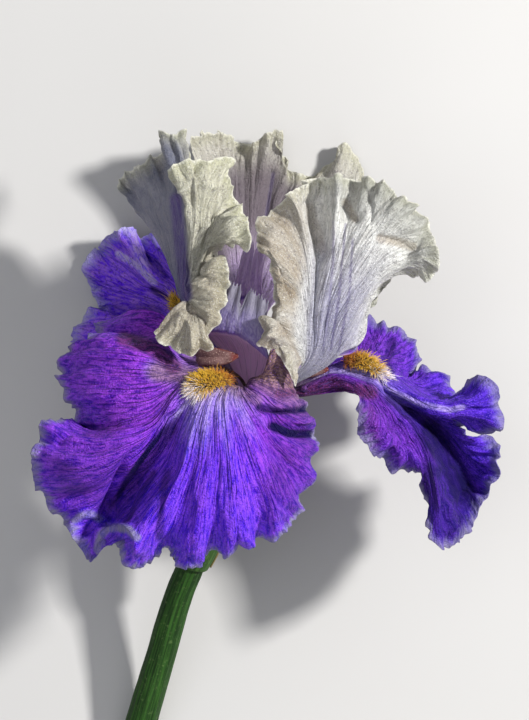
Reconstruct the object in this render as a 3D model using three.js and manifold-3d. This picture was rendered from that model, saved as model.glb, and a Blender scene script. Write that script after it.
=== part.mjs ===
// A cut bearded iris bloom lying on its back: three broad falls, each with a beard of hairs, three upright
// standards, three style arms with a stamen under each, the floral tube, two spathes and the stem.
// Millimetres, +Z up. Seen from above, +X is to the right of the bloom and +Y runs from the stem to its top.

import * as THREE from "three";
import { mergeVertices } from "three/addons/utils/BufferGeometryUtils.js";
import Module from "manifold-3d";

const wasm = await Module();
wasm.setup();

// ---- Driving dimensions ----

const AXIS_LEAN = 0.14; // the bloom's axis leans to the right, radians
const AXIS_TILT = 0.17; // and its top is lifted off the surface, radians
const PETAL_THICK = 0.8;
// Each whorl of petals leaves the floral tube on a ring: its radius, its height over the tube's rim and
// the degrees that half a claw takes on it.
const FALL_RING = { radius: 7, rise: 1.1, spread: 30 };
const STANDARD_RING = { radius: 5, rise: 2.4, spread: 18 };
const FALL_AZIMUTHS = { front: -16, right: 92, back: 216 }; // degrees about the axis, 0 faces up
const STANDARD_AZIMUTHS = { right: 42, back: 165, left: 284 };
const CRIMP = 0.28; // height of the small waves along a petal's margin, over their spacing
const CRIMP_MOST = 1.1; // and their greatest height
const CRIMP_FROM = 0.6; // share of a petal's length at which they begin
const COLUMNS_PER_RIB = 2;
const ROWS = 9;

const radians = THREE.MathUtils.degToRad;
const smoothstep = THREE.MathUtils.smoothstep;
const v3 = (x, y, z) => new THREE.Vector3(x, y, z);

// The bloom's own frame, relative to the throat.
const AXIS = v3(
  Math.sin(AXIS_LEAN),
  Math.cos(AXIS_LEAN) * Math.cos(AXIS_TILT),
  Math.sin(AXIS_TILT),
).normalize();
const FACING = v3(0, 0, 1).addScaledVector(AXIS, -AXIS.z).normalize();
const SIDE = AXIS.clone().cross(FACING);

// A unit vector out from the axis at an azimuth in degrees.
function outward(azimuth) {
  const a = radians(azimuth);
  return FACING.clone().multiplyScalar(Math.cos(a)).addScaledVector(SIDE, Math.sin(a));
}

// ---- The petals' ribs ----
// Each row is one rib of a petal, from its claw out to the margin, and the rows go across the petal from
// one edge to the other. Points are [x, y, z] from the throat. Neighbouring ribs that differ in height make
// a flute.

const FALL_FRONT = [
  [[-11,11,12.5], [-20,19.5,9], [-27,27,6], [-35,29.5,4], [-41.5,28,0], [-47.5,24.5,-6]],
  [[-11.5,10,15.5], [-20,18.5,12], [-27,21,12], [-34,21.5,10], [-41.5,21,8], [-50,20,4]],
  [[-12,11,18.5], [-21,14,21], [-28,19,25], [-36,20,27], [-45,21,25], [-53.5,18.5,18]],
  [[-11.5,11,21.5], [-20.5,10.5,30], [-28.5,14,35], [-38.5,16.5,35], [-50,17.5,28], [-59,16,14]],
  [[-10.5,10,24], [-20.5,9,35], [-29.5,10,38], [-41.5,11,35], [-53,11.5,26], [-61,10,12]],
  [[-9.5,8,26], [-20,8,38], [-31,5,41], [-43.5,4.5,38], [-52.5,4.5,32], [-60,4.5,22]],
  [[-8.5,7.5,27], [-20,7,40], [-31.5,-0.5,43], [-43.5,-2.5,39], [-51,-2.5,30], [-56,-2.5,16]],
  [[-8,7,28], [-20,6.5,41], [-31.5,-4.5,45], [-43.5,-8,42], [-50,-9,28], [-53.5,-7,12]],
  [[-7.5,7,28], [-19.5,6,42], [-32,-7,47], [-46,-10.5,47], [-55.5,-9,42], [-64,-5.5,32]],
  [[-7.5,6.5,28], [-19.5,5.5,43], [-32.5,-9.5,49], [-47.5,-15,50], [-58,-14,48], [-67.5,-12,40]],
  [[-7.5,6.5,29], [-19,4.5,43.5], [-32,-12,49], [-47,-20,51], [-57,-21.5,50], [-68.5,-21.5,40]],
  [[-7,6,29], [-18.5,4,44], [-30.5,-14,45], [-45,-25.5,42], [-55,-29,38], [-65.5,-31,32]],
  [[-7,6,29.5], [-18,3.5,44.5], [-29,-16,42], [-43.5,-28.5,36], [-52,-33.5,34], [-59.5,-37.5,28]],
  [[-6.5,6,30], [-17,3,45], [-27.5,-17,41], [-41.5,-31,32], [-48,-38.5,30], [-55.5,-43.5,34]],
  [[-6.5,5.5,30], [-16,2.5,46], [-25.5,-18.5,45], [-38.5,-34,38], [-45,-41,38], [-50,-50,24]],
  [[-6,5.5,30], [-15,2,46.5], [-23.5,-19.5,50], [-34,-36,50], [-38,-42.5,50], [-43.5,-45,40]],
  [[-6,5.5,30], [-14,1.5,47], [-21,-20,53], [-28.5,-37.5,53], [-32,-45.5,50], [-35.5,-53,38]],
  [[-5.5,5.5,30], [-13,1,47.5], [-17.5,-20,53], [-23,-37.5,49], [-24.5,-43,42], [-26,-47,32]],
  [[-5,5,30], [-11.5,1,48], [-14.5,-20.5,55], [-17.5,-38,54], [-19,-47,50], [-20,-53.5,40]],
  [[-5,5,30], [-10,0.5,48], [-10,-19.5,55], [-11.5,-36,51], [-11.5,-43.5,44], [-11.5,-48,34]],
  [[-4.5,5,30], [-8,0.5,48], [-6,-18.5,56], [-4.5,-34,55], [-3.5,-43,50], [-3,-47.5,40]],
  [[-4,5,29.5], [-6.5,0.5,46.5], [-2,-17,54], [2,-31.5,50], [3,-39,44], [4,-44,34]],
  [[-3.5,4.5,29], [-4.5,1,45], [2,-15,53], [8,-28.5,50], [10.5,-36,46], [12,-40.5,37]],
  [[-3,4.5,28], [-3,1.5,43], [5,-12.5,48], [12.5,-23,43], [16,-28.5,37], [16.5,-30.5,29]],
  [[-2.5,4.5,27], [-1.5,1.5,41], [7,-9,46], [15,-15,43], [18.5,-17.5,37], [20,-19,28]],
  [[-2,4.5,25], [0,2,39], [8,-4.5,41], [15.5,-8.5,34], [19,-10.5,28], [21,-11,20]],
  [[-1.5,4.5,22], [1,4.5,35], [9,-0.5,39], [15,-2.5,36], [17.5,-3,30], [18.5,-3,21]],
  [[-0.5,5.5,18], [2,7.5,28], [6.5,7.5,32], [10.5,6.5,31], [13.5,4,28], [16,2.5,22]],
  [[2.5,6.5,16], [5,9,28.5], [6.5,14,35], [8,18.5,35], [12,15.5,32], [14.5,9,27.5]],
  [[7.5,8,10.5], [11,12.5,15], [13.5,16,19], [14.5,17.5,22], [15,14.5,23], [15.5,10,23]],
];

const FALL_RIGHT = [
  [[16,2,2], [25.5,3,4], [30.5,3,10], [33,2,18], [34,0,22], [33,-2.5,24]],
  [[16,2.5,3], [26.5,4.5,5], [32,3,11], [36,0.5,18], [36.5,-3,23], [33.5,-6,24]],
  [[16,3,3], [27,5.5,6], [33.5,3,11.5], [38.5,-2.5,19], [38.5,-7.5,23], [33.5,-9.5,20]],
  [[16,3,3], [28,6.5,6], [35,3,11.5], [41,-4.5,19], [42,-11,22], [36.5,-14,21]],
  [[16,3.5,3], [28.5,7,6], [36,3,11], [43.5,-7,18], [46,-15,20], [41,-17.5,14]],
  [[16,3.5,3], [29,7.5,5.5], [37,2.5,10.5], [46,-9.5,16.5], [50,-18,17], [47.5,-21.5,10]],
  [[16,4,2.5], [29,8,5], [38.5,2.5,10], [48.5,-11,15], [54,-21,16], [54,-22.5,6]],
  [[16,4,2], [29.5,8,4.5], [39.5,2,9.5], [50.5,-11.5,14], [55.5,-25.5,13], [56,-34,8]],
  [[16,4.5,2], [29.5,8.5,4], [40.5,2,9], [52.5,-11.5,14], [58,-29,14], [57,-44,10]],
  [[16,4.5,2], [30,8.5,3.5], [41.5,2.5,8.5], [54.5,-11,13], [60.5,-30,13], [61.5,-47.5,4]],
  [[16.5,4.5,1.5], [30.5,9,3], [42.5,2.5,7], [56,-11,9], [63,-29,4], [67.5,-44,-2]],
  [[16.5,5,1], [30.5,9,2.5], [43,2.5,5], [57.5,-11,-4], [66,-26.5,-9], [71.5,-37.5,-6]],
  [[16.5,5,1], [31,9,2], [43.5,3,3.5], [59.5,-10.5,-12], [68,-23.5,-15], [76,-29,-8]],
  [[16.5,5,0.5], [31,9.5,1.5], [43.5,3,2.5], [61,-9.5,-13], [71,-19.5,-13], [80,-23,-5]],
  [[16.5,5,0], [31.5,9.5,1], [44,3.5,2.5], [61.5,-8.5,-11], [71,-16,-11], [80,-17.5,-8]],
  [[16.5,5.5,-0.5], [31.5,9.5,1], [44,3.5,2.5], [61,-7.5,-8], [70,-13.5,-9], [78.5,-13.5,-10]],
  [[16.5,5.5,-0.5], [31.5,10,1], [44,3.5,3], [60,-6,-4], [66.5,-9.5,-7], [70,-12.5,-13]],
  [[16.5,5.5,-1], [31.5,10.5,1], [44,3.5,3], [59,-4,-2.5], [64,-6.5,-4], [66.5,-8,-9]],
  [[16.5,5.5,-1], [32,11,1], [44.5,4,3.5], [58.5,-3,1], [63,-4,0], [67,-5,-4]],
  [[16.5,5.5,-1.5], [32,11.5,0.5], [44.5,4.5,5], [58,-2,6], [69.5,-5,4.5], [78.5,-10.5,0]],
  [[16.5,5.5,-2], [32,12,0], [44.5,5,6], [57.5,-1,8.5], [69.5,-2,8], [81,-2,4]],
  [[16.5,6,-2.5], [32,12.5,-0.5], [44.5,6,4.5], [57,0,6], [68,0.5,6], [75,8.5,8]],
  [[16,6,-3], [32,12.5,-1.5], [44.5,8,1], [56,1,-2], [62.5,1,-7], [66,0.5,-12]],
  [[16,6,-3.5], [32,12.5,-4], [44,10,-2.5], [53.5,4.5,-10], [60,5.5,-14], [64.5,3.5,-18]],
  [[16,6.5,-4], [31.5,13,-6], [43,11.5,-5], [51,7,-13], [56,9.5,-17], [59,10,-21]],
  [[16,6.5,-5], [31,13,-8], [42,12.5,-8], [48.5,8.5,-15], [51,8.5,-20], [53,9,-24]],
  [[16,6.5,-6], [30.5,13,-10], [41,13.5,-10], [48,12.5,-17], [51,14.5,-22], [53.5,16.5,-27]],
  [[16,7,-6.5], [29.5,13,-12], [39,13.5,-11], [45.5,16.5,-18], [48.5,19.5,-23], [51,22,-27]],
  [[15.5,7,-7], [29,13.5,-13], [37.5,14,-12], [41.5,18.5,-19], [43.5,21.5,-23], [44.5,24,-27]],
  [[15.5,7.5,-8], [28.5,13.5,-15], [35.5,14,-13], [38,19,-19], [39,23,-23], [40,26,-27]],
  [[15,7.5,-10], [27,13.5,-17], [32,14.5,-14], [33.5,19,-18], [34.5,22,-22], [35.5,25.5,-25]],
];

const FALL_BACK = [
  [[-9,16.5,-18], [-13.5,28.5,-23], [-17,40.5,-28], [-18.5,47,-33], [-21.5,50.5,-38], [-24.5,51,-41]],
  [[-9.5,16.5,-18], [-14.5,27,-23], [-19,38.5,-28], [-23,44,-32], [-26.5,47.5,-36], [-29,48,-38]],
  [[-10,16.5,-18], [-15.5,26,-23.5], [-20,36.5,-28], [-26,43.5,-33], [-29.5,49,-38], [-32.5,53.5,-40]],
  [[-10,16.5,-18], [-16.5,25.5,-24], [-21.5,35,-29], [-29,41,-37], [-33,46,-45], [-36,51,-48.5]],
  [[-10.5,16.5,-17], [-17.5,24.5,-23], [-23,33.5,-28], [-31.5,41.5,-31], [-36,49.5,-34], [-39,56,-35]],
  [[-11,16,-17], [-18,23.5,-23], [-23.5,32.5,-29], [-33,40,-36], [-39,47,-40], [-45,54,-40]],
  [[-11.5,16,-17], [-18.5,23,-24], [-24.5,31.5,-31], [-34.5,38,-39], [-41.5,43.5,-44], [-48,49,-48]],
  [[-11.5,15,-17], [-19,22,-24], [-25.5,30.5,-32], [-35.5,35.5,-42], [-45,40.5,-45], [-52,46,-47]],
  [[-12,15,-17], [-19.5,21.5,-24.5], [-26,29.5,-32], [-35.5,33.5,-42], [-45,36.5,-47], [-53,40,-48.5]],
  [[-12,14,-17], [-19.5,21,-24.5], [-26,28,-32], [-35.5,31.5,-41], [-43.5,33,-45], [-50.5,33.5,-43]],
  [[-12,14,-17], [-19,20,-25], [-26,26.5,-32], [-34,28.5,-39], [-41.5,29,-43], [-49,30.5,-47.5]],
  [[-11.5,13,-17], [-18.5,19,-24], [-24.5,24.5,-30], [-32,24,-35], [-43.5,24.5,-39], [-55.5,25,-42]],
  [[-11.5,12,-17], [-17.5,17.5,-23], [-23,22.5,-28], [-29.5,20,-31], [-42.5,19.5,-34], [-58,21,-40]],
  [[-11,11.5,-16.5], [-16.5,16.5,-22], [-21.5,20,-26], [-28.5,16.5,-27], [-40.5,14.5,-30], [-54.5,14,-35]],
];

const STANDARD_LEFT = [
  [[-14,18,-4], [-19,26.5,-6], [-22,35.5,-8], [-25.5,44,-12], [-29.5,52,-14], [-34,60.5,-14]],
  [[-14.5,18,-3], [-19.5,28,-5], [-22.5,37.5,-6], [-26.5,47.5,-9], [-32,56,-9], [-37.5,65,-8]],
  [[-14.5,18.5,-2], [-19.5,28.5,-3], [-23,38.5,-3], [-28.5,50,-4], [-35,60,-3], [-42,69.5,0]],
  [[-14.5,18.5,-1], [-20,29,-1], [-23.5,39.5,0], [-28.5,52.5,3], [-33.5,63,4], [-39,73.5,-2]],
  [[-15,18.5,0], [-20,29.5,1], [-23,40,3], [-27,54.5,9], [-30.5,65.5,10], [-35.5,76,7]],
  [[-15,19,1.5], [-20,30.5,3], [-23,41,6], [-25.5,56,13], [-28.5,68,13], [-32,79,4]],
  [[-15,19,3], [-20,30.5,6], [-22,41,9], [-23.5,56.5,17], [-26,70,14], [-28.5,78,2]],
  [[-15,19,5], [-19.5,30.5,9], [-21.5,41,13], [-22,57.5,21], [-24.5,73.5,18], [-28.5,85.5,6]],
  [[-14.5,19.5,7], [-19.5,30.5,12], [-20.5,41,17], [-20,57.5,24], [-21.5,74,19], [-24.5,85.5,10]],
  [[-14.5,19.5,8], [-19,30.5,14], [-19.5,41,20], [-18.5,57.5,26], [-19.5,73.5,19], [-20.5,86.5,5]],
  [[-14.5,19.5,10], [-18.5,30.5,16], [-19.5,41.5,22], [-18.5,58,26], [-19.5,69,20], [-19,77,8]],
  [[-14.5,19,11], [-18.5,30.5,18], [-19,41,23], [-19,57,28], [-21,67,31], [-26,74.5,33]],
  [[-14,19,12], [-18,30.5,19], [-18.5,41,24], [-17,57,29], [-17.5,68.5,34], [-20,77,34]],
  [[-14,19,13], [-17.5,30,20], [-18.5,40.5,25], [-16,57,28], [-14.5,68.5,32], [-13.5,77,30]],
  [[-14,18.5,14], [-17.5,29.5,21], [-18,40,25], [-14,56,27], [-10,67.5,28], [-5.5,77,22]],
  [[-14,18.5,14.5], [-17.5,29.5,22], [-17.5,39,26], [-13,54.5,26.5], [-9.5,62,26], [-5.5,67.5,22]],
  [[-14,18.5,15], [-17.5,29,23], [-17.5,38.5,26], [-12,52.5,27], [-7,59,28.5], [-2,62.5,27]],
  [[-13.5,18,16], [-17.5,28.5,24], [-17.5,38,27], [-12,50.5,30], [-6.5,55,34], [-0.5,56.5,31]],
  [[-13.5,17.5,16.5], [-17.5,28,25], [-17.5,37,28], [-13.5,48.5,31], [-7.5,50.5,38], [-0.5,49.5,37]],
  [[-13.5,17.5,17], [-17.5,27.5,25.5], [-18.5,35.5,27], [-16,43.5,26], [-13.5,46,20], [-11.5,47.5,10]],
  [[-13.5,17,17], [-17.5,27,26], [-18.5,34,29], [-16,40,33], [-11.5,44,35], [-6.5,45,34]],
  [[-13,16.5,17], [-17,26.5,26], [-19,33,30.5], [-16,36.5,34], [-11.5,38,35.5], [-6,38,35]],
  [[-13,16.5,16.5], [-17,26,26], [-19,32,31], [-15.5,32,35.5], [-11.5,32,37], [-7.5,31.5,35]],
  [[-13,16.5,16.5], [-17,26,26], [-19,31.5,31], [-15.5,29,37], [-12.5,27.5,39], [-9.5,25.5,36]],
  [[-13,16,16], [-17,25.5,26], [-19,31.5,31], [-16.5,26.5,38], [-14,22,40], [-12.5,16.5,36.5]],
  [[-13,16,15.5], [-17,25.5,25.5], [-19,31,30.5], [-18,25.5,38], [-17.5,20,41], [-18.5,15,38]],
  [[-13,16,15], [-17,25.5,25.5], [-19.5,31,30.5], [-19.5,26,37], [-21,21,40], [-23.5,16,38]],
  [[-12,15,13.5], [-17,25.5,25], [-19.5,31.5,30], [-21,28,35], [-24.5,23.5,38], [-29,18.5,37]],
  [[-11.5,13,12], [-17,25.5,24.5], [-19.5,31.5,29.5], [-23,30.5,32.5], [-26.5,27,34.5], [-30.5,22,35]],
];

const STANDARD_BACK = [
  [[-3,18,-10], [-5.5,27,-15], [-8,37,-20], [-12,51,-24], [-16,67,-22], [-19.5,83,-14]],
  [[-3,18,-10.5], [-5,28.5,-17], [-7,39,-22], [-10.5,55,-28], [-13.5,71.5,-27], [-16,86.5,-18]],
  [[-2.5,18.5,-11], [-4.5,29.5,-18], [-6,41,-25], [-9,57.5,-32], [-10.5,73.5,-33], [-12,87,-28]],
  [[-2,18.5,-11.5], [-4,30.5,-19], [-5,42.5,-27], [-7,59.5,-35], [-8,75,-38], [-9,86.5,-32]],
  [[-1.5,18.5,-12], [-3.5,31.5,-20], [-4,43.5,-28], [-5,61.5,-38], [-5.5,76.5,-42], [-5.5,85,-40]],
  [[-1,19,-12.5], [-2.5,31.5,-20.5], [-2.5,44,-29], [-2.5,62.5,-40], [-3,76,-44], [-2.5,82.5,-46]],
  [[-0.5,19,-13], [-1.5,32,-21], [-1,44,-30], [0,63.5,-40], [0.5,76.5,-42], [1.5,83,-40]],
  [[0.5,19,-13], [-1,32,-21], [0.5,44,-30.5], [2.5,64,-41], [4.5,77.5,-41], [5.5,86,-36]],
  [[1,19,-13], [0,32,-21], [2,44,-31], [5.5,64,-42], [9,76.5,-43], [10.5,86.5,-38]],
  [[1.5,19,-13], [1,32,-21], [3.5,44,-31], [8,63,-42], [11,71.5,-45], [10,77,-44]],
  [[2,19,-12.5], [2,31.5,-21], [4.5,43.5,-30], [11.5,61.5,-41], [15,69,-46], [15.5,73,-46.5]],
  [[2.5,18.5,-12], [3,31.5,-20], [6.5,42.5,-28], [15,59.5,-39], [20,68.5,-44], [23,75,-48]],
  [[3,18.5,-11], [4,30.5,-18.5], [8,40.5,-26], [19.5,56,-36], [26.5,70,-41], [30.5,83,-43]],
  [[4,18,-10], [4.5,29.5,-16.5], [10,38,-23], [23,51,-32], [31,64.5,-41], [35,78,-48.5]],
  [[4.5,17.5,-9], [5.5,28.5,-14], [12,35,-19], [25.5,45,-26], [33.5,56,-35], [40.5,65,-43]],
];

const STANDARD_RIGHT = [
  [[14.5,9.5,16], [16,12.5,21], [16,12.5,27], [15,10.5,32], [15,8,35], [14,4.5,36]],
  [[14.5,10,17], [16.5,14,22], [15,15,28], [13.5,15,33], [12,14,36], [11.5,10.5,36]],
  [[15,10.5,17], [16.5,15,23], [14.5,17.5,30], [11.5,19,35], [9,18.5,38], [6.5,16,36]],
  [[15,10.5,17.5], [16.5,16.5,24], [14,20,31], [10,22,36], [6.5,21,39], [2,17.5,36]],
  [[15,11,18], [16.5,17.5,24.5], [13.5,23.5,32], [10,26,37], [6.5,26,38], [3,25.5,35]],
  [[15,11,18], [16.5,19,25], [14,26.5,31], [11.5,29,34], [9,29.5,34.5], [6.5,29.5,31.5]],
  [[15.5,11.5,18.5], [16.5,20,25], [14,29.5,30], [12,33,32], [9.5,34,32], [6.5,33.5,31]],
  [[15.5,11.5,19], [16.5,21.5,25], [15,33,29], [12.5,36.5,31], [9.5,39,33], [6.5,41,31]],
  [[15.5,11.5,19], [17,23,25], [15,35.5,29], [12,41,32], [7,45.5,35], [1.5,49,32]],
  [[16,12,19], [17.5,24.5,25], [16,38.5,28], [12.5,46,31], [6.5,50.5,34], [1.5,52.5,31.5]],
  [[16,12,19], [17.5,25.5,25], [16.5,41,28], [12.5,50,30], [8,55,31], [2,57,29]],
  [[16.5,12,19], [18,26,25], [17.5,43.5,27], [14.5,53,27], [11.5,59,26], [8,61.5,23]],
  [[16.5,12.5,19], [18.5,26.5,25], [18.5,45.5,27], [16.5,55.5,29], [14,62,31], [11,65.5,30]],
  [[17,12.5,19], [19,27,25], [19.5,47,26], [19,57,26.5], [18,64,26.5], [17.5,69,26]],
  [[17.5,12.5,19], [20,28,24.5], [21,47.5,24], [21,58,19], [21,64.5,17], [21,71,18]],
  [[18,13,19], [21,28.5,25], [23,48,25.5], [24,58,22.5], [24,65,21], [23.5,71,20]],
  [[18.5,13,19], [22,29,26.5], [25.5,48.5,30], [27,59.5,31], [28,66.5,30], [28,71.5,26]],
  [[19,13,19], [23,29,27], [28,48.5,31], [30.5,58,27], [31.5,64,22], [32,71,18]],
  [[19.5,13,18.5], [23.5,29.5,27], [30,48.5,31], [33.5,60,30], [35.5,65.5,28], [37.5,71,24]],
  [[20,13,18], [24.5,29.5,27], [32,48.5,32], [37.5,59.5,33], [40,65,31], [42.5,70,26]],
  [[20.5,13,17.5], [25.5,29.5,27.5], [34.5,48.5,33], [41,57,34], [45,61.5,35], [48.5,65,31]],
  [[21,13,17], [26.5,29,27.5], [36.5,47.5,33], [43.5,55,34], [48.5,59.5,34], [53,63,28]],
  [[21.5,12.5,16.5], [27.5,28.5,27], [38.5,46,32], [46,52.5,32], [51,55.5,31], [56,58,22]],
  [[21.5,12.5,16], [28.5,28,27], [40,44,31], [47.5,49.5,31], [52,51,30], [58,52,28]],
  [[22,12.5,15.5], [29,27,26.5], [40.5,41.5,31], [48.5,46,31], [53.5,48,33], [59.5,47.5,33]],
  [[22,12,14.5], [29.5,26,25.5], [40.5,39.5,30.5], [48.5,44,31], [53.5,45,34], [60,42.5,32]],
  [[22.5,12,13.5], [30.5,25,24], [40,37.5,28.5], [47,41.5,30], [52,42.5,31], [56,38,28]],
  [[22.5,11.5,12.5], [30.5,23.5,22], [38.5,35,25], [44,39.5,26], [48,41,26], [52,40.5,23]],
  [[23,11,11], [30.5,20,18], [36.5,30.5,18], [39,34,19], [41.5,36.5,16], [43.5,38,16]],
  [[23,10.5,10], [29,16,12], [34,18,11], [36.5,22,12], [36,27,13], [38,31.5,14]],
];

// ---- Surfaces and solids ----

// A point at share t of the smooth curve through evenly spaced points, with straight run-outs at both ends.
function through(points, t) {
  const last = points.length - 1;
  const x = THREE.MathUtils.clamp(t, 0, 1) * last;
  const i = Math.min(Math.floor(x), last - 1);
  const f = x - i;
  const b = points[i];
  const c = points[i + 1];
  const a = points[i - 1] ?? b.clone().multiplyScalar(2).sub(c);
  const d = points[i + 2] ?? c.clone().multiplyScalar(2).sub(b);
  const weigh = (wa, wb, wc, wd) =>
    v3(0, 0, 0).addScaledVector(a, wa).addScaledVector(b, wb).addScaledVector(c, wc).addScaledVector(d, wd);
  return weigh(
    f * (-0.5 + f * (1 - 0.5 * f)),
    1 + f * f * (1.5 * f - 2.5),
    f * (0.5 + f * (2 - 1.5 * f)),
    f * f * (0.5 * f - 0.5),
  );
}

// The surface of a petal as a function of u, across it, and v, from its claw to its margin.
function petalSurface(ribs, azimuth, ring) {
  const curves = ribs.map((rib, i) => {
    const angle = azimuth + ring.spread * (1 - (2 * i) / (ribs.length - 1)) * handOf(ribs, azimuth);
    const foot = outward(angle).multiplyScalar(ring.radius).addScaledVector(AXIS, ring.rise);
    return [foot, ...rib.map((p) => v3(...p))];
  });
  return (u, v) =>
    through(
      curves.map((curve) => through(curve, v)),
      u,
    );
}

// +1 if the ribs run towards falling azimuths, and -1 if they run the other way.
function handOf(ribs, azimuth) {
  const first = v3(...ribs[0][0]);
  const last = v3(...ribs[ribs.length - 1][0]);
  const rising = AXIS.clone().cross(outward(azimuth));
  return first.sub(last).dot(rising) > 0 ? 1 : -1;
}

// Samples a surface on a grid of points with normals, where place(i, j) gives (u, v).
function sample(surface, columns, rows, place) {
  const step = 0.004;
  const grid = [];
  for (let i = 0; i <= columns; i++) {
    grid.push([]);
    for (let j = 0; j <= rows; j++) {
      const [u, v] = place(i, j);
      const across = surface(Math.min(u + step, 1), v).sub(surface(Math.max(u - step, 0), v));
      const along = surface(u, Math.min(v + step, 1)).sub(surface(u, Math.max(v - step, 0)));
      grid[i].push({ point: surface(u, v), normal: along.cross(across).normalize() });
    }
  }
  return grid;
}

// Turns a closed list of triangles the right way out.
function outwardFacing(geometry) {
  const p = geometry.getAttribute("position");
  const index = geometry.index;
  const corner = (k) => v3().fromBufferAttribute(p, index.getX(k));
  let volume = 0;
  for (let k = 0; k < index.count; k += 3) volume += corner(k).dot(corner(k + 1).cross(corner(k + 2)));
  if (volume < 0) index.array.reverse();
  return geometry;
}

// A closed solid from points and triangles.
function solid(points, triangles) {
  const geometry = new THREE.BufferGeometry().setFromPoints(points);
  geometry.setIndex(triangles);
  return outwardFacing(geometry);
}

// A thin closed shell on a grid: its two faces lie half its thickness to both sides along the normals.
function shell(grid, thick) {
  const columns = grid.length - 1;
  const rows = grid[0].length - 1;
  const points = [];
  for (const height of [thick / 2, -thick / 2])
    for (const column of grid)
      for (const { point, normal } of column) points.push(point.clone().addScaledVector(normal, height));
  const half = points.length / 2;
  const at = (i, j) => i * (rows + 1) + j;
  const triangles = [];
  for (let i = 0; i < columns; i++)
    for (let j = 0; j < rows; j++) {
      const [a, b, c, d] = [at(i, j), at(i + 1, j), at(i + 1, j + 1), at(i, j + 1)];
      const split = (i + j) % 2 ? [a, b, c, a, c, d] : [a, b, d, b, c, d];
      triangles.push(...split, ...split.map((k) => k + half).reverse());
    }
  const rim = [];
  for (let i = 0; i < columns; i++) rim.push(at(i, 0));
  for (let j = 0; j < rows; j++) rim.push(at(columns, j));
  for (let i = columns; i > 0; i--) rim.push(at(i, rows));
  for (let j = rows; j > 0; j--) rim.push(at(0, j));
  rim.forEach((a, k) => {
    const b = rim[(k + 1) % rim.length];
    triangles.push(b, a, a + half, b, a + half, b + half);
  });
  return solid(points, triangles);
}

// A closed solid through rings of equally many points, with a fan over each end.
function loft(rings) {
  const sides = rings[0].length;
  const points = rings.flat();
  const triangles = [];
  for (let r = 0; r + 1 < rings.length; r++)
    for (let k = 0; k < sides; k++) {
      const a = r * sides + k;
      const b = r * sides + ((k + 1) % sides);
      triangles.push(a, b, b + sides, a, b + sides, a + sides);
    }
  for (const [ring, first] of [[rings[0], 0], [rings[rings.length - 1], (rings.length - 1) * sides]]) {
    const middle = ring.reduce((sum, p) => sum.add(p), v3(0, 0, 0)).divideScalar(sides);
    points.push(middle);
    for (let k = 0; k < sides; k++) {
      const edge = [first + k, first + ((k + 1) % sides)];
      if (first === 0) edge.reverse();
      triangles.push(...edge, points.length - 1);
    }
  }
  return solid(points, triangles);
}

// Rings across a path: section(t, angle) gives the distance out from the path.
function ringsAlong(path, steps, sides, section) {
  const rings = [];
  let across = FACING.clone();
  for (let s = 0; s <= steps; s++) {
    const t = s / steps;
    const along = through(path, Math.min(t + 0.01, 1)).sub(through(path, Math.max(t - 0.01, 0))).normalize();
    across = across.addScaledVector(along, -across.dot(along)).normalize();
    const other = along.clone().cross(across);
    const middle = through(path, t);
    rings.push(
      Array.from({ length: sides }, (_, k) => {
        const angle = (2 * Math.PI * k) / sides;
        const out = section(t, angle);
        return middle
          .clone()
          .addScaledVector(across, out * Math.cos(angle))
          .addScaledVector(other, out * Math.sin(angle));
      }),
    );
  }
  return rings;
}

// A manifold solid from a geometry, and back.
function toManifold(geometry) {
  const bare = new THREE.BufferGeometry().setAttribute("position", geometry.getAttribute("position").clone());
  bare.setIndex(geometry.index);
  const merged = mergeVertices(bare, 1e-4);
  return new wasm.Manifold(
    new wasm.Mesh({
      numProp: 3,
      vertProperties: Float32Array.from(merged.getAttribute("position").array),
      triVerts: Uint32Array.from(merged.index.array),
    }),
  );
}

function toGeometry(manifold) {
  const [body] = manifold.decompose().sort((a, b) => b.volume() - a.volume());
  const mesh = body.getMesh();
  const geometry = new THREE.BufferGeometry();
  geometry.setAttribute("position", new THREE.BufferAttribute(Float32Array.from(mesh.vertProperties), 3));
  geometry.setIndex(new THREE.BufferAttribute(Uint32Array.from(mesh.triVerts), 1));
  return geometry;
}

// Repeatable random numbers from 0 to 1.
function randomFrom(seed) {
  let state = seed;
  return () => {
    state = (state * 1664525 + 1013904223) % 4294967296;
    return state / 4294967296;
  };
}

// ---- The pieces ----

// A petal's margin is crimped: its grid's columns are lifted and lowered in turn, more towards the edge and
// each by its own random share.
function petal(surface, ribCount, seed) {
  const columns = (ribCount - 1) * COLUMNS_PER_RIB;
  const grid = sample(surface, columns, ROWS, (i, j) => [i / columns, j / ROWS]);
  const random = randomFrom(seed);
  const margin = grid.map((column) => column[ROWS].point.clone());
  grid.forEach((column, i) => {
    const spacing = margin[i].distanceTo(margin[i ? i - 1 : 1]);
    const crimp = Math.min(CRIMP * spacing, CRIMP_MOST) * (0.4 + 1.1 * random()) * (i % 2 ? 1 : -1);
    column.forEach(({ point, normal }, j) =>
      point.addScaledVector(normal, crimp * smoothstep(j / ROWS, CRIMP_FROM, 1)),
    );
  });
  return shell(grid, PETAL_THICK);
}

const BEARD_GAP = 0.9; // from the middle of the fall's thickness to the beard's underside
const BEARD_HEIGHT = 1.8;
const HAIR_LENGTH = 3.8;
const HAIR_ROOT = 0.55;
const HAIR_SINK = 0.6; // how deep a hair's root stands in the cushion
const HAIRS = 40;

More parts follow.
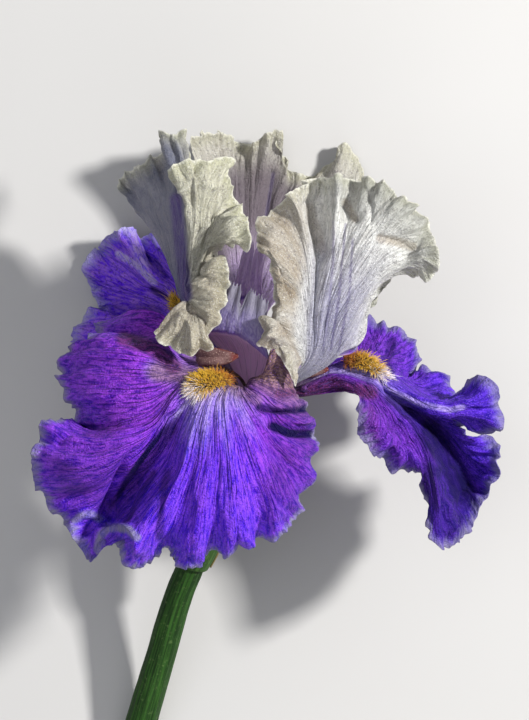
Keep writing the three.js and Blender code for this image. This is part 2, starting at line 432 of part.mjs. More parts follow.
// A beard: a low cushion along the upper face of the fall's claw, with hairs that stand out of it. It lies
// at u across the fall, between two shares of its length, and half is its half width.
function beard(surface, { u, from, to, half }, seed) {
  const onBeard = (t, angle) => {
    const v = from + (to - from) * t;
    const [[{ point, normal }]] = sample(surface, 0, 0, () => [u, v]);
    const along = surface(u, v + 0.01).sub(surface(u, v - 0.01)).normalize();
    const side = along.clone().cross(normal);
    const swell = Math.sqrt(Math.sin(Math.PI * (0.08 + 0.84 * t)));
    const root = point
      .addScaledVector(side, half * swell * Math.cos(angle))
      .addScaledVector(normal, BEARD_GAP + BEARD_HEIGHT * swell * (0.5 + 0.5 * Math.sin(angle)));
    const way = normal.multiplyScalar(Math.sin(angle)).addScaledVector(side, Math.cos(angle) * 0.7);
    return { root, way: way.addScaledVector(along, 0.25) };
  };
  const rings = Array.from({ length: 8 }, (_, j) =>
    Array.from({ length: 8 }, (_, k) => onBeard(j / 7, (Math.PI * (2 * k + 1)) / 8).root),
  );
  const random = randomFrom(seed);
  const bodies = [toManifold(loft(rings))];
  for (let k = 0; k < HAIRS; k++) {
    const { root, way } = onBeard(0.04 + 0.92 * ((k + random()) / HAIRS), radians(25 + 130 * random()));
    way.add(v3(random() - 0.5, random() - 0.5, random() - 0.5).multiplyScalar(0.5)).normalize();
    const length = HAIR_LENGTH * (0.75 + 0.5 * random());
    const hair = new THREE.ConeGeometry(HAIR_ROOT, length, 3).translate(0, length / 2 - HAIR_SINK, 0);
    hair.applyQuaternion(new THREE.Quaternion().setFromUnitVectors(v3(0, 1, 0), way));
    hair.translate(root.x, root.y, root.z);
    bodies.push(toManifold(hair));
  }
  return toGeometry(wasm.Manifold.union(bodies));
}

// A style arm in its own plane: [out from the axis, up the axis, half width], from its foot over the lip
// to the tips of its crest.
const ARM_PROFILE = [
  [2.4, 1.2, 1.6], [5.6, 9, 4.6], [11, 17, 8.4], [17.5, 22, 10.8], [24, 24, 11.8],
  [27.2, 26, 10.8], [27.4, 31, 8.4], [25.6, 36, 8], [23.5, 41, 7.4],
];
const ARM_THICK = 0.7;
const CREST_FROM = 0.62; // share of the arm's length at which the crest begins
const CREST_NOTCH = { depth: 0.4, half: 0.16, slope: 0.08 }; // shares of the crest's length and half width
const ARM_DROOP = 0.026; // fall of the arm's edges, over the square of the half width

// reach and lift scale the profile away from the axis and up it, slim scales its width, and roll slopes it
// sideways. The crest is split in two by a notch and falls away to both sides.
function styleArmSurface({ azimuth, reach, lift, slim, roll }) {
  const out = outward(azimuth);
  const side = AXIS.clone().cross(out);
  const profile = ARM_PROFILE.map((p) => v3(...p));
  return (u, v) => {
    const a = 2 * u - 1;
    const crest = Math.max(0, (v - CREST_FROM) / (1 - CREST_FROM));
    const split = CREST_NOTCH.depth * (1 - Math.min(1, Math.abs(a) / CREST_NOTCH.half));
    const notch = split + CREST_NOTCH.slope * a * a;
    const p = through(profile, v - crest * notch * (1 - CREST_FROM));
    const width = a * p.z * slim;
    const droop = (1 - crest) * ARM_DROOP * width * width + roll * width;
    return v3(0, 0, 0)
      .addScaledVector(out, p.x * reach)
      .addScaledVector(AXIS, p.y * lift - droop)
      .addScaledVector(side, width);
  };
}

function styleArm(surface) {
  const columns = 10;
  const rows = 11;
  const grid = sample(surface, columns, rows, (i, j) => [i / columns, j / rows]);
  return shell(grid, ARM_THICK);
}

// A stamen under a style arm: a slim filament with a flattened anther that narrows to its tip. Its path is
// [out, up the axis, sideways], the anther begins at share from of it, breadth is its half breadth and turn
// rolls it, in degrees.
const STRAIGHT = [[3.7, 1.8, 0], [6.5, 6, 0], [9.5, 9.5, 0], [13, 12, 0], [17, 14, 0], [21, 15.5, 0]];
const HOOKED = [
  [3.7, 1.8, 0], [8, 6, 0], [13, 9.5, -1], [18, 12, -3.5], [23.5, 14.3, -7.5], [27.6, 16, -11],
  [29.3, 17, -7], [28.8, 17.8, -2], [27.9, 18.8, 2],
];

function stamen({ azimuth, path, reach, rise, from, breadth, turn }) {
  const out = outward(azimuth);
  const side = AXIS.clone().cross(out);
  const points = path.map(([r, h, w]) =>
    v3(0, 0, 0).addScaledVector(out, r * reach).addScaledVector(AXIS, h * rise).addScaledVector(side, w),
  );
  const section = (t, angle) => {
    const anther = smoothstep(t, from, from + 0.12) * (1 - smoothstep(t, 0.93, 1.02));
    const narrowed = (breadth - 0.8) * (1 - 0.75 * smoothstep(t, 0.78, 1));
    return 0.5 + anther * (0.3 + narrowed * Math.sin(angle + radians(turn)) ** 2);
  };
  return loft(ringsAlong(points, 2 * path.length, 6, section));
}

// ---- The stem side ----

const TUBE_PATH = [[0, 0, 0], [-3, -12, -3.5], [-8, -26, -9], [-13.5, -39, -15], [-18, -50, -20.5]];
const STEM_PATH = [
  [-18.4, -50.8, -20.9], [-23.2, -62.8, -27], [-27.8, -78.5, -33.3], [-32.4, -94, -39], [-36.6, -108, -44.2],
];
const SPATHE_PATH = [
  [-18.5, -51, -21], [-15.7, -44, -17.5], [-12, -35, -13.3], [-7.5, -24.5, -8.5], [-4, -15, -4.7],
];
const SPATHE_THICK = 0.6;
const SPATHE_WRAP = 96; // half the degrees that a spathe takes round the ovary at its foot
const SPATHE_TAPER = { share: 0.86, power: 2.2 }; // how much of that wrap its tip loses, and how late
const SPATHE_SWELL = 1.3; // how far its middle stands off
const TUBE_RADIUS = 2.9;
const TUBE_RIM = 6.9;
const OVARY_RADIUS = 4.2;
const STEM_RADIUS = { top: 4.4, end: 5.2 };
const THROAT_END = 0.22; // share of the tube's length that its throat takes
const OVARY_FROM = 0.45; // share of its length at which the ovary begins to swell
const OVARY_FULL = 0.65; // and at which it is full

const pointsOf = (list) => list.map((p) => v3(...p));

function stem() {
  const section = (t, angle) =>
    THREE.MathUtils.lerp(STEM_RADIUS.top, STEM_RADIUS.end, t) * (1 + 0.03 * Math.cos(2 * angle));
  return loft(ringsAlong(pointsOf(STEM_PATH), 12, 14, section));
}

// The floral tube widens into the throat and swells below into the three-cornered ovary.
function floralTube() {
  const section = (t, angle) => {
    const throat = 1 - smoothstep(t, 0, THROAT_END);
    const ovary = smoothstep(t, OVARY_FROM, OVARY_FULL) * (1 - 0.35 * smoothstep(t, 0.88, 1));
    const corners = 1 + 0.08 * ovary * Math.cos(3 * angle);
    return (TUBE_RADIUS + throat * (TUBE_RIM - TUBE_RADIUS) + ovary * (OVARY_RADIUS - TUBE_RADIUS)) * corners;
  };
  return loft(ringsAlong(pointsOf(TUBE_PATH), 16, 12, section));
}

// A spathe: a green bract that clasps the ovary from one side and narrows to a point.
function spathe(turn, clearance, reach) {
  const path = pointsOf(SPATHE_PATH);
  const columns = 8;
  const rows = 10;
  const surface = (u, v) => {
    const t = v * reach;
    const along = through(path, Math.min(t + 0.01, 1)).sub(through(path, Math.max(t - 0.01, 0))).normalize();
    const across = FACING.clone().addScaledVector(along, -FACING.dot(along)).normalize();
    const other = along.clone().cross(across);
    const wrap = radians(SPATHE_WRAP) * (1 - SPATHE_TAPER.share * v ** SPATHE_TAPER.power);
    const angle = radians(turn) + (2 * u - 1) * wrap;
    const radius = STEM_RADIUS.top + clearance + SPATHE_SWELL * Math.sin(Math.PI * v);
    return through(path, t)
      .addScaledVector(across, radius * Math.cos(angle))
      .addScaledVector(other, radius * Math.sin(angle));
  };
  const grid = sample(surface, columns, rows, (i, j) => [i / columns, j / rows]);
  return shell(grid, SPATHE_THICK);
}

// ---- Colours ----

function finish(colour, roughness) {
  return new THREE.MeshStandardMaterial({ color: new THREE.Color(colour), roughness, metalness: 0 });
}

const VIOLET = finish("#5b36c4", 0.6);
const SILVER = finish("#dcdbd4", 0.6);
const GOLD = finish("#d99a1c", 0.7);
const LILAC = finish("#8f7fae", 0.55);
const POLLEN = finish("#cdb79c", 0.6);
const GREEN = finish("#3f5f27", 0.55);
const TUBE_GREEN = finish("#6d7a4a", 0.55);

// ---- Assembly ----

const bloom = new THREE.Group();

function add(name, geometry, material) {
  const mesh = new THREE.Mesh(geometry, material);
  mesh.name = name;
  bloom.add(mesh);
}

const falls = {
  front: { ribs: FALL_FRONT, beard: { u: 0.444, from: 0.2, to: 0.345, half: 4.4 } },
  right: { ribs: FALL_RIGHT, beard: { u: 0.69, from: 0.31, to: 0.47, half: 2.5 } },
  back: { ribs: FALL_BACK, beard: { u: 0.38, from: 0.3, to: 0.5, half: 2.6 } },
};
for (const [place, fall] of Object.entries(falls)) {
  const surface = petalSurface(fall.ribs, FALL_AZIMUTHS[place], FALL_RING);
  add(`fall_${place}`, petal(surface, fall.ribs.length, FALL_AZIMUTHS[place] + 100), VIOLET);
  add(`beard_${place}`, beard(surface, fall.beard, FALL_AZIMUTHS[place] + 500), GOLD);
}

const standards = { left: STANDARD_LEFT, back: STANDARD_BACK, right: STANDARD_RIGHT };
for (const [place, ribs] of Object.entries(standards)) {
  const surface = petalSurface(ribs, STANDARD_AZIMUTHS[place], STANDARD_RING);
  add(`standard_${place}`, petal(surface, ribs.length, STANDARD_AZIMUTHS[place] + 100), SILVER);
}

const arms = {
  front: { azimuth: -16, reach: 1, lift: 1, slim: 1, roll: 0.2 },
  right: { azimuth: 98, reach: 1.1, lift: 0.87, slim: 0.56, roll: 0 },
  back: { azimuth: 198, reach: 0.7, lift: 1.2, slim: 0.5, roll: 0 },
};
const stamens = {
  front: { azimuth: -16, path: HOOKED, reach: 1, rise: 1, from: 0.56, breadth: 3, turn: 90 },
  right: { azimuth: 96, path: STRAIGHT, reach: 1.1, rise: 0.88, from: 0.48, breadth: 1.7, turn: 0 },
  back: { azimuth: 198, path: STRAIGHT, reach: 0.85, rise: 1.38, from: 0.48, breadth: 1.7, turn: 0 },
};
for (const [place, arm] of Object.entries(arms)) {
  add(`style_arm_${place}`, styleArm(styleArmSurface(arm)), LILAC);
  add(`stamen_${place}`, stamen(stamens[place]), POLLEN);
}

add("floral_tube", floralTube(), TUBE_GREEN);
add("spathe_outer", spathe(200, 1.9, 1), GREEN);
add("spathe_inner", spathe(20, 0.85, 0.88), GREEN);
add("stem", stem(), GREEN);

// The bloom is laid down with its lowest points at z = 0 and the middle of its box over the origin.
const box = new THREE.Box3().setFromObject(bloom);
const middle = box.getCenter(v3());
bloom.position.set(-middle.x, -middle.y, -box.min.z);

export default bloom;
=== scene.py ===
"""A cut bearded iris bloom lying on its back: petals, beards, style arms, stamens, tube, spathes and stem.

Shapes are in millimetres from the throat, where the petals leave the floral tube, and are turned into
metres in the frame when a piece is made. +X is to the right of the bloom, +Y runs to its top and +Z is up.
"""

import bpy
import numpy as np
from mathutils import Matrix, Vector


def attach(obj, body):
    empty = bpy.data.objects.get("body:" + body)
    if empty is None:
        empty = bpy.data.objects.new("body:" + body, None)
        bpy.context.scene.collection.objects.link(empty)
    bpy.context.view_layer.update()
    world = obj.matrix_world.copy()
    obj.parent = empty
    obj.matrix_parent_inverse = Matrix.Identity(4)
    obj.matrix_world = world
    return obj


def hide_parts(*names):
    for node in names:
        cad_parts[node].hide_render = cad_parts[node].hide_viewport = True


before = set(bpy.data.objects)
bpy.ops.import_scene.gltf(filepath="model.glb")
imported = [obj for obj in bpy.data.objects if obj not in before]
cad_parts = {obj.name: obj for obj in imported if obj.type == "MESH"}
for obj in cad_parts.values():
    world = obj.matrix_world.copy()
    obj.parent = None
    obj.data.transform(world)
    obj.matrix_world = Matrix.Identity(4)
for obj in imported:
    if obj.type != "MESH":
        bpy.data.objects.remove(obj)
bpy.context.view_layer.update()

# ---- Driving dimensions, millimetres unless said otherwise ----

MM = 0.001
THROAT = np.array((-6.1, 11.39, 49.33))
AXIS_LEAN = 0.14  # the bloom's axis leans to the right, radians
AXIS_TILT = 0.17  # and its top is lifted off the floor, radians
FALL_RING = {"radius": 7, "rise": 1.1, "spread": 30}  # where the falls leave the tube, the spread in degrees
STANDARD_RING = {"radius": 5, "rise": 2.4, "spread": 18}
PETAL_THICK = 0.44
MARGIN_THICK = 0.16


def unit(vectors):
    """Each vector over its own length."""
    return vectors / np.linalg.norm(vectors, axis=-1, keepdims=True)


AXIS = unit(
    np.array((np.sin(AXIS_LEAN), np.cos(AXIS_LEAN) * np.cos(AXIS_TILT), np.sin(AXIS_TILT)))
)
FACING = unit(np.array((0, 0, 1)) - AXIS * AXIS[2])
SIDE = np.cross(AXIS, FACING)


def outward(azimuth):
    """The way out from the axis at an azimuth in degrees: FACING times its cosine plus SIDE times its
    sine."""
    a = np.radians(azimuth)[..., None] if np.ndim(azimuth) else np.radians(azimuth)
    return FACING * np.cos(a) + SIDE * np.sin(a)


# ---- The petals' ribs ----
# Each row is one rib of a petal, from its claw out to the margin, and the rows go across the petal from one
# edge to the other. Points are (x, y, z) from the throat, to the nearest half millimetre.

FALL_FRONT = [
    [(-11,11,12.5), (-20,19.5,9), (-27,27,6), (-35,29.5,4), (-41.5,28,0), (-47.5,24.5,-6)],
    [(-11.5,10,15.5), (-20,18.5,12), (-27,21,12), (-34,21.5,10), (-41.5,21,8), (-50,20,4)],
    [(-12,11,18.5), (-21,14,21), (-28,19,25), (-36,20,27), (-45,21,25), (-53.5,18.5,18)],
    [(-11.5,11,21.5), (-20.5,10.5,30), (-28.5,14,35), (-38.5,16.5,35), (-50,17.5,28), (-59,16,14)],
    [(-10.5,10,24), (-20.5,9,35), (-29.5,10,38), (-41.5,11,35), (-53,11.5,26), (-61,10,12)],
    [(-9.5,8,26), (-20,8,38), (-31,5,41), (-43.5,4.5,38), (-52.5,4.5,32), (-60,4.5,22)],
    [(-8.5,7.5,27), (-20,7,40), (-31.5,-0.5,43), (-43.5,-2.5,39), (-51,-2.5,30), (-56,-2.5,16)],
    [(-8,7,28), (-20,6.5,41), (-31.5,-4.5,45), (-43.5,-8,42), (-50,-9,28), (-53.5,-7,12)],
    [(-7.5,7,28), (-19.5,6,42), (-32,-7,47), (-46,-10.5,47), (-55.5,-9,42), (-64,-5.5,32)],
    [(-7.5,6.5,28), (-19.5,5.5,43), (-32.5,-9.5,49), (-47.5,-15,50), (-58,-14,48), (-67.5,-12,40)],
    [(-7.5,6.5,29), (-19,4.5,43.5), (-32,-12,49), (-47,-20,51), (-57,-21.5,50), (-68.5,-21.5,40)],
    [(-7,6,29), (-18.5,4,44), (-30.5,-14,45), (-45,-25.5,42), (-55,-29,38), (-65.5,-31,32)],
    [(-7,6,29.5), (-18,3.5,44.5), (-29,-16,42), (-43.5,-28.5,36), (-52,-33.5,34), (-59.5,-37.5,28)],
    [(-6.5,6,30), (-17,3,45), (-27.5,-17,41), (-41.5,-31,32), (-48,-38.5,30), (-55.5,-43.5,34)],
    [(-6.5,5.5,30), (-16,2.5,46), (-25.5,-18.5,45), (-38.5,-34,38), (-45,-41,38), (-50,-50,24)],
    [(-6,5.5,30), (-15,2,46.5), (-23.5,-19.5,50), (-34,-36,50), (-38,-42.5,50), (-43.5,-45,40)],
    [(-6,5.5,30), (-14,1.5,47), (-21,-20,53), (-28.5,-37.5,53), (-32,-45.5,50), (-35.5,-53,38)],
    [(-5.5,5.5,30), (-13,1,47.5), (-17.5,-20,53), (-23,-37.5,49), (-24.5,-43,42), (-26,-47,32)],
    [(-5,5,30), (-11.5,1,48), (-14.5,-20.5,55), (-17.5,-38,54), (-19,-47,50), (-20,-53.5,40)],
    [(-5,5,30), (-10,0.5,48), (-10,-19.5,55), (-11.5,-36,51), (-11.5,-43.5,44), (-11.5,-48,34)],
    [(-4.5,5,30), (-8,0.5,48), (-6,-18.5,56), (-4.5,-34,55), (-3.5,-43,50), (-3,-47.5,40)],
    [(-4,5,29.5), (-6.5,0.5,46.5), (-2,-17,54), (2,-31.5,50), (3,-39,44), (4,-44,34)],
    [(-3.5,4.5,29), (-4.5,1,45), (2,-15,53), (8,-28.5,50), (10.5,-36,46), (12,-40.5,37)],
    [(-3,4.5,28), (-3,1.5,43), (5,-12.5,48), (12.5,-23,43), (16,-28.5,37), (16.5,-30.5,29)],
    [(-2.5,4.5,27), (-1.5,1.5,41), (7,-9,46), (15,-15,43), (18.5,-17.5,37), (20,-19,28)],
    [(-2,4.5,25), (0,2,39), (8,-4.5,41), (15.5,-8.5,34), (19,-10.5,28), (21,-11,20)],
    [(-1.5,4.5,22), (1,4.5,35), (9,-0.5,39), (15,-2.5,36), (17.5,-3,30), (18.5,-3,21)],
    [(-0.5,5.5,18), (2,7.5,28), (6.5,7.5,32), (10.5,6.5,31), (13.5,4,28), (16,2.5,22)],
    [(2.5,6.5,16), (5,9,28.5), (6.5,14,35), (8,18.5,35), (12,15.5,32), (14.5,9,27.5)],
    [(7.5,8,10.5), (11,12.5,15), (13.5,16,19), (14.5,17.5,22), (15,14.5,23), (15.5,10,23)],
]
FALL_RIGHT = [
    [(16,2,2), (25.5,3,4), (30.5,3,10), (33,2,18), (34,0,22), (33,-2.5,24)],
    [(16,2.5,3), (26.5,4.5,5), (32,3,11), (36,0.5,18), (36.5,-3,23), (33.5,-6,24)],
    [(16,3,3), (27,5.5,6), (33.5,3,11.5), (38.5,-2.5,19), (38.5,-7.5,23), (33.5,-9.5,20)],
    [(16,3,3), (28,6.5,6), (35,3,11.5), (41,-4.5,19), (42,-11,22), (36.5,-14,21)],
    [(16,3.5,3), (28.5,7,6), (36,3,11), (43.5,-7,18), (46,-15,20), (41,-17.5,14)],
    [(16,3.5,3), (29,7.5,5.5), (37,2.5,10.5), (46,-9.5,16.5), (50,-18,17), (47.5,-21.5,10)],
    [(16,4,2.5), (29,8,5), (38.5,2.5,10), (48.5,-11,15), (54,-21,16), (54,-22.5,6)],
    [(16,4,2), (29.5,8,4.5), (39.5,2,9.5), (50.5,-11.5,14), (55.5,-25.5,13), (56,-34,8)],
    [(16,4.5,2), (29.5,8.5,4), (40.5,2,9), (52.5,-11.5,14), (58,-29,14), (57,-44,10)],
    [(16,4.5,2), (30,8.5,3.5), (41.5,2.5,8.5), (54.5,-11,13), (60.5,-30,13), (61.5,-47.5,4)],
    [(16.5,4.5,1.5), (30.5,9,3), (42.5,2.5,7), (56,-11,9), (63,-29,4), (67.5,-44,-2)],
    [(16.5,5,1), (30.5,9,2.5), (43,2.5,5), (57.5,-11,-4), (66,-26.5,-9), (71.5,-37.5,-6)],
    [(16.5,5,1), (31,9,2), (43.5,3,3.5), (59.5,-10.5,-12), (68,-23.5,-15), (76,-29,-8)],
    [(16.5,5,0.5), (31,9.5,1.5), (43.5,3,2.5), (61,-9.5,-13), (71,-19.5,-13), (80,-23,-5)],
    [(16.5,5,0), (31.5,9.5,1), (44,3.5,2.5), (61.5,-8.5,-11), (71,-16,-11), (80,-17.5,-8)],
    [(16.5,5.5,-0.5), (31.5,9.5,1), (44,3.5,2.5), (61,-7.5,-8), (70,-13.5,-9), (78.5,-13.5,-10)],
    [(16.5,5.5,-0.5), (31.5,10,1), (44,3.5,3), (60,-6,-4), (66.5,-9.5,-7), (70,-12.5,-13)],
    [(16.5,5.5,-1), (31.5,10.5,1), (44,3.5,3), (59,-4,-2.5), (64,-6.5,-4), (66.5,-8,-9)],
    [(16.5,5.5,-1), (32,11,1), (44.5,4,3.5), (58.5,-3,1), (63,-4,0), (67,-5,-4)],
    [(16.5,5.5,-1.5), (32,11.5,0.5), (44.5,4.5,5), (58,-2,6), (69.5,-5,4.5), (78.5,-10.5,0)],
    [(16.5,5.5,-2), (32,12,0), (44.5,5,6), (57.5,-1,8.5), (69.5,-2,8), (81,-2,4)],
    [(16.5,6,-2.5), (32,12.5,-0.5), (44.5,6,4.5), (57,0,6), (68,0.5,6), (75,8.5,8)],
    [(16,6,-3), (32,12.5,-1.5), (44.5,8,1), (56,1,-2), (62.5,1,-7), (66,0.5,-12)],
    [(16,6,-3.5), (32,12.5,-4), (44,10,-2.5), (53.5,4.5,-10), (60,5.5,-14), (64.5,3.5,-18)],
    [(16,6.5,-4), (31.5,13,-6), (43,11.5,-5), (51,7,-13), (56,9.5,-17), (59,10,-21)],
    [(16,6.5,-5), (31,13,-8), (42,12.5,-8), (48.5,8.5,-15), (51,8.5,-20), (53,9,-24)],
    [(16,6.5,-6), (30.5,13,-10), (41,13.5,-10), (48,12.5,-17), (51,14.5,-22), (53.5,16.5,-27)],
    [(16,7,-6.5), (29.5,13,-12), (39,13.5,-11), (45.5,16.5,-18), (48.5,19.5,-23), (51,22,-27)],
    [(15.5,7,-7), (29,13.5,-13), (37.5,14,-12), (41.5,18.5,-19), (43.5,21.5,-23), (44.5,24,-27)],
    [(15.5,7.5,-8), (28.5,13.5,-15), (35.5,14,-13), (38,19,-19), (39,23,-23), (40,26,-27)],
    [(15,7.5,-10), (27,13.5,-17), (32,14.5,-14), (33.5,19,-18), (34.5,22,-22), (35.5,25.5,-25)],
]
FALL_BACK = [
    [(-9,16.5,-18), (-13.5,28.5,-23), (-17,40.5,-28), (-18.5,47,-33), (-21.5,50.5,-38), (-24.5,51,-41)],
    [(-9.5,16.5,-18), (-14.5,27,-23), (-19,38.5,-28), (-23,44,-32), (-26.5,47.5,-36), (-29,48,-38)],
    [(-10,16.5,-18), (-15.5,26,-23.5), (-20,36.5,-28), (-26,43.5,-33), (-29.5,49,-38), (-32.5,53.5,-40)],
    [(-10,16.5,-18), (-16.5,25.5,-24), (-21.5,35,-29), (-29,41,-37), (-33,46,-45), (-36,51,-48.5)],
    [(-10.5,16.5,-17), (-17.5,24.5,-23), (-23,33.5,-28), (-31.5,41.5,-31), (-36,49.5,-34), (-39,56,-35)],
    [(-11,16,-17), (-18,23.5,-23), (-23.5,32.5,-29), (-33,40,-36), (-39,47,-40), (-45,54,-40)],
    [(-11.5,16,-17), (-18.5,23,-24), (-24.5,31.5,-31), (-34.5,38,-39), (-41.5,43.5,-44), (-48,49,-48)],
    [(-11.5,15,-17), (-19,22,-24), (-25.5,30.5,-32), (-35.5,35.5,-42), (-45,40.5,-45), (-52,46,-47)],
    [(-12,15,-17), (-19.5,21.5,-24.5), (-26,29.5,-32), (-35.5,33.5,-42), (-45,36.5,-47), (-53,40,-48.5)],
    [(-12,14,-17), (-19.5,21,-24.5), (-26,28,-32), (-35.5,31.5,-41), (-43.5,33,-45), (-50.5,33.5,-43)],
    [(-12,14,-17), (-19,20,-25), (-26,26.5,-32), (-34,28.5,-39), (-41.5,29,-43), (-49,30.5,-47.5)],
    [(-11.5,13,-17), (-18.5,19,-24), (-24.5,24.5,-30), (-32,24,-35), (-43.5,24.5,-39), (-55.5,25,-42)],
    [(-11.5,12,-17), (-17.5,17.5,-23), (-23,22.5,-28), (-29.5,20,-31), (-42.5,19.5,-34), (-58,21,-40)],
    [(-11,11.5,-16.5), (-16.5,16.5,-22), (-21.5,20,-26), (-28.5,16.5,-27), (-40.5,14.5,-30), (-54.5,14,-35)],
]
STANDARD_LEFT = [
    [(-14,18,-4), (-19,26.5,-6), (-22,35.5,-8), (-25.5,44,-12), (-29.5,52,-14), (-34,60.5,-14)],
    [(-14.5,18,-3), (-19.5,28,-5), (-22.5,37.5,-6), (-26.5,47.5,-9), (-32,56,-9), (-37.5,65,-8)],
    [(-14.5,18.5,-2), (-19.5,28.5,-3), (-23,38.5,-3), (-28.5,50,-4), (-35,60,-3), (-42,69.5,0)],
    [(-14.5,18.5,-1), (-20,29,-1), (-23.5,39.5,0), (-28.5,52.5,3), (-33.5,63,4), (-39,73.5,-2)],
    [(-15,18.5,0), (-20,29.5,1), (-23,40,3), (-27,54.5,9), (-30.5,65.5,10), (-35.5,76,7)],
    [(-15,19,1.5), (-20,30.5,3), (-23,41,6), (-25.5,56,13), (-28.5,68,13), (-32,79,4)],
    [(-15,19,3), (-20,30.5,6), (-22,41,9), (-23.5,56.5,17), (-26,70,14), (-28.5,78,2)],
    [(-15,19,5), (-19.5,30.5,9), (-21.5,41,13), (-22,57.5,21), (-24.5,73.5,18), (-28.5,85.5,6)],
    [(-14.5,19.5,7), (-19.5,30.5,12), (-20.5,41,17), (-20,57.5,24), (-21.5,74,19), (-24.5,85.5,10)],
    [(-14.5,19.5,8), (-19,30.5,14), (-19.5,41,20), (-18.5,57.5,26), (-19.5,73.5,19), (-20.5,86.5,5)],
    [(-14.5,19.5,10), (-18.5,30.5,16), (-19.5,41.5,22), (-18.5,58,26), (-19.5,69,20), (-19,77,8)],
    [(-14.5,19,11), (-18.5,30.5,18), (-19,41,23), (-19,57,28), (-21,67,31), (-26,74.5,33)],
    [(-14,19,12), (-18,30.5,19), (-18.5,41,24), (-17,57,29), (-17.5,68.5,34), (-20,77,34)],
    [(-14,19,13), (-17.5,30,20), (-18.5,40.5,25), (-16,57,28), (-14.5,68.5,32), (-13.5,77,30)],
    [(-14,18.5,14), (-17.5,29.5,21), (-18,40,25), (-14,56,27), (-10,67.5,28), (-5.5,77,22)],
    [(-14,18.5,14.5), (-17.5,29.5,22), (-17.5,39,26), (-13,54.5,26.5), (-9.5,62,26), (-5.5,67.5,22)],
    [(-14,18.5,15), (-17.5,29,23), (-17.5,38.5,26), (-12,52.5,27), (-7,59,28.5), (-2,62.5,27)],
    [(-13.5,18,16), (-17.5,28.5,24), (-17.5,38,27), (-12,50.5,30), (-6.5,55,34), (-0.5,56.5,31)],
    [(-13.5,17.5,16.5), (-17.5,28,25), (-17.5,37,28), (-13.5,48.5,31), (-7.5,50.5,38), (-0.5,49.5,37)],
    [(-13.5,17.5,17), (-17.5,27.5,25.5), (-18.5,35.5,27), (-16,43.5,26), (-13.5,46,20), (-11.5,47.5,10)],
    [(-13.5,17,17), (-17.5,27,26), (-18.5,34,29), (-16,40,33), (-11.5,44,35), (-6.5,45,34)],
    [(-13,16.5,17), (-17,26.5,26), (-19,33,30.5), (-16,36.5,34), (-11.5,38,35.5), (-6,38,35)],
    [(-13,16.5,16.5), (-17,26,26), (-19,32,31), (-15.5,32,35.5), (-11.5,32,37), (-7.5,31.5,35)],
    [(-13,16.5,16.5), (-17,26,26), (-19,31.5,31), (-15.5,29,37), (-12.5,27.5,39), (-9.5,25.5,36)],
    [(-13,16,16), (-17,25.5,26), (-19,31.5,31), (-16.5,26.5,38), (-14,22,40), (-12.5,16.5,36.5)],
    [(-13,16,15.5), (-17,25.5,25.5), (-19,31,30.5), (-18,25.5,38), (-17.5,20,41), (-18.5,15,38)],
    [(-13,16,15), (-17,25.5,25.5), (-19.5,31,30.5), (-19.5,26,37), (-21,21,40), (-23.5,16,38)],
    [(-12,15,13.5), (-17,25.5,25), (-19.5,31.5,30), (-21,28,35), (-24.5,23.5,38), (-29,18.5,37)],
    [(-11.5,13,12), (-17,25.5,24.5), (-19.5,31.5,29.5), (-23,30.5,32.5), (-26.5,27,34.5), (-30.5,22,35)],
]
STANDARD_BACK = [
    [(-3,18,-10), (-5.5,27,-15), (-8,37,-20), (-12,51,-24), (-16,67,-22), (-19.5,83,-14)],
    [(-3,18,-10.5), (-5,28.5,-17), (-7,39,-22), (-10.5,55,-28), (-13.5,71.5,-27), (-16,86.5,-18)],
    [(-2.5,18.5,-11), (-4.5,29.5,-18), (-6,41,-25), (-9,57.5,-32), (-10.5,73.5,-33), (-12,87,-28)],
    [(-2,18.5,-11.5), (-4,30.5,-19), (-5,42.5,-27), (-7,59.5,-35), (-8,75,-38), (-9,86.5,-32)],
    [(-1.5,18.5,-12), (-3.5,31.5,-20), (-4,43.5,-28), (-5,61.5,-38), (-5.5,76.5,-42), (-5.5,85,-40)],
    [(-1,19,-12.5), (-2.5,31.5,-20.5), (-2.5,44,-29), (-2.5,62.5,-40), (-3,76,-44), (-2.5,82.5,-46)],
    [(-0.5,19,-13), (-1.5,32,-21), (-1,44,-30), (0,63.5,-40), (0.5,76.5,-42), (1.5,83,-40)],
    [(0.5,19,-13), (-1,32,-21), (0.5,44,-30.5), (2.5,64,-41), (4.5,77.5,-41), (5.5,86,-36)],
    [(1,19,-13), (0,32,-21), (2,44,-31), (5.5,64,-42), (9,76.5,-43), (10.5,86.5,-38)],
    [(1.5,19,-13), (1,32,-21), (3.5,44,-31), (8,63,-42), (11,71.5,-45), (10,77,-44)],
    [(2,19,-12.5), (2,31.5,-21), (4.5,43.5,-30), (11.5,61.5,-41), (15,69,-46), (15.5,73,-46.5)],
    [(2.5,18.5,-12), (3,31.5,-20), (6.5,42.5,-28), (15,59.5,-39), (20,68.5,-44), (23,75,-48)],
    [(3,18.5,-11), (4,30.5,-18.5), (8,40.5,-26), (19.5,56,-36), (26.5,70,-41), (30.5,83,-43)],
    [(4,18,-10), (4.5,29.5,-16.5), (10,38,-23), (23,51,-32), (31,64.5,-41), (35,78,-48.5)],
    [(4.5,17.5,-9), (5.5,28.5,-14), (12,35,-19), (25.5,45,-26), (33.5,56,-35), (40.5,65,-43)],
]
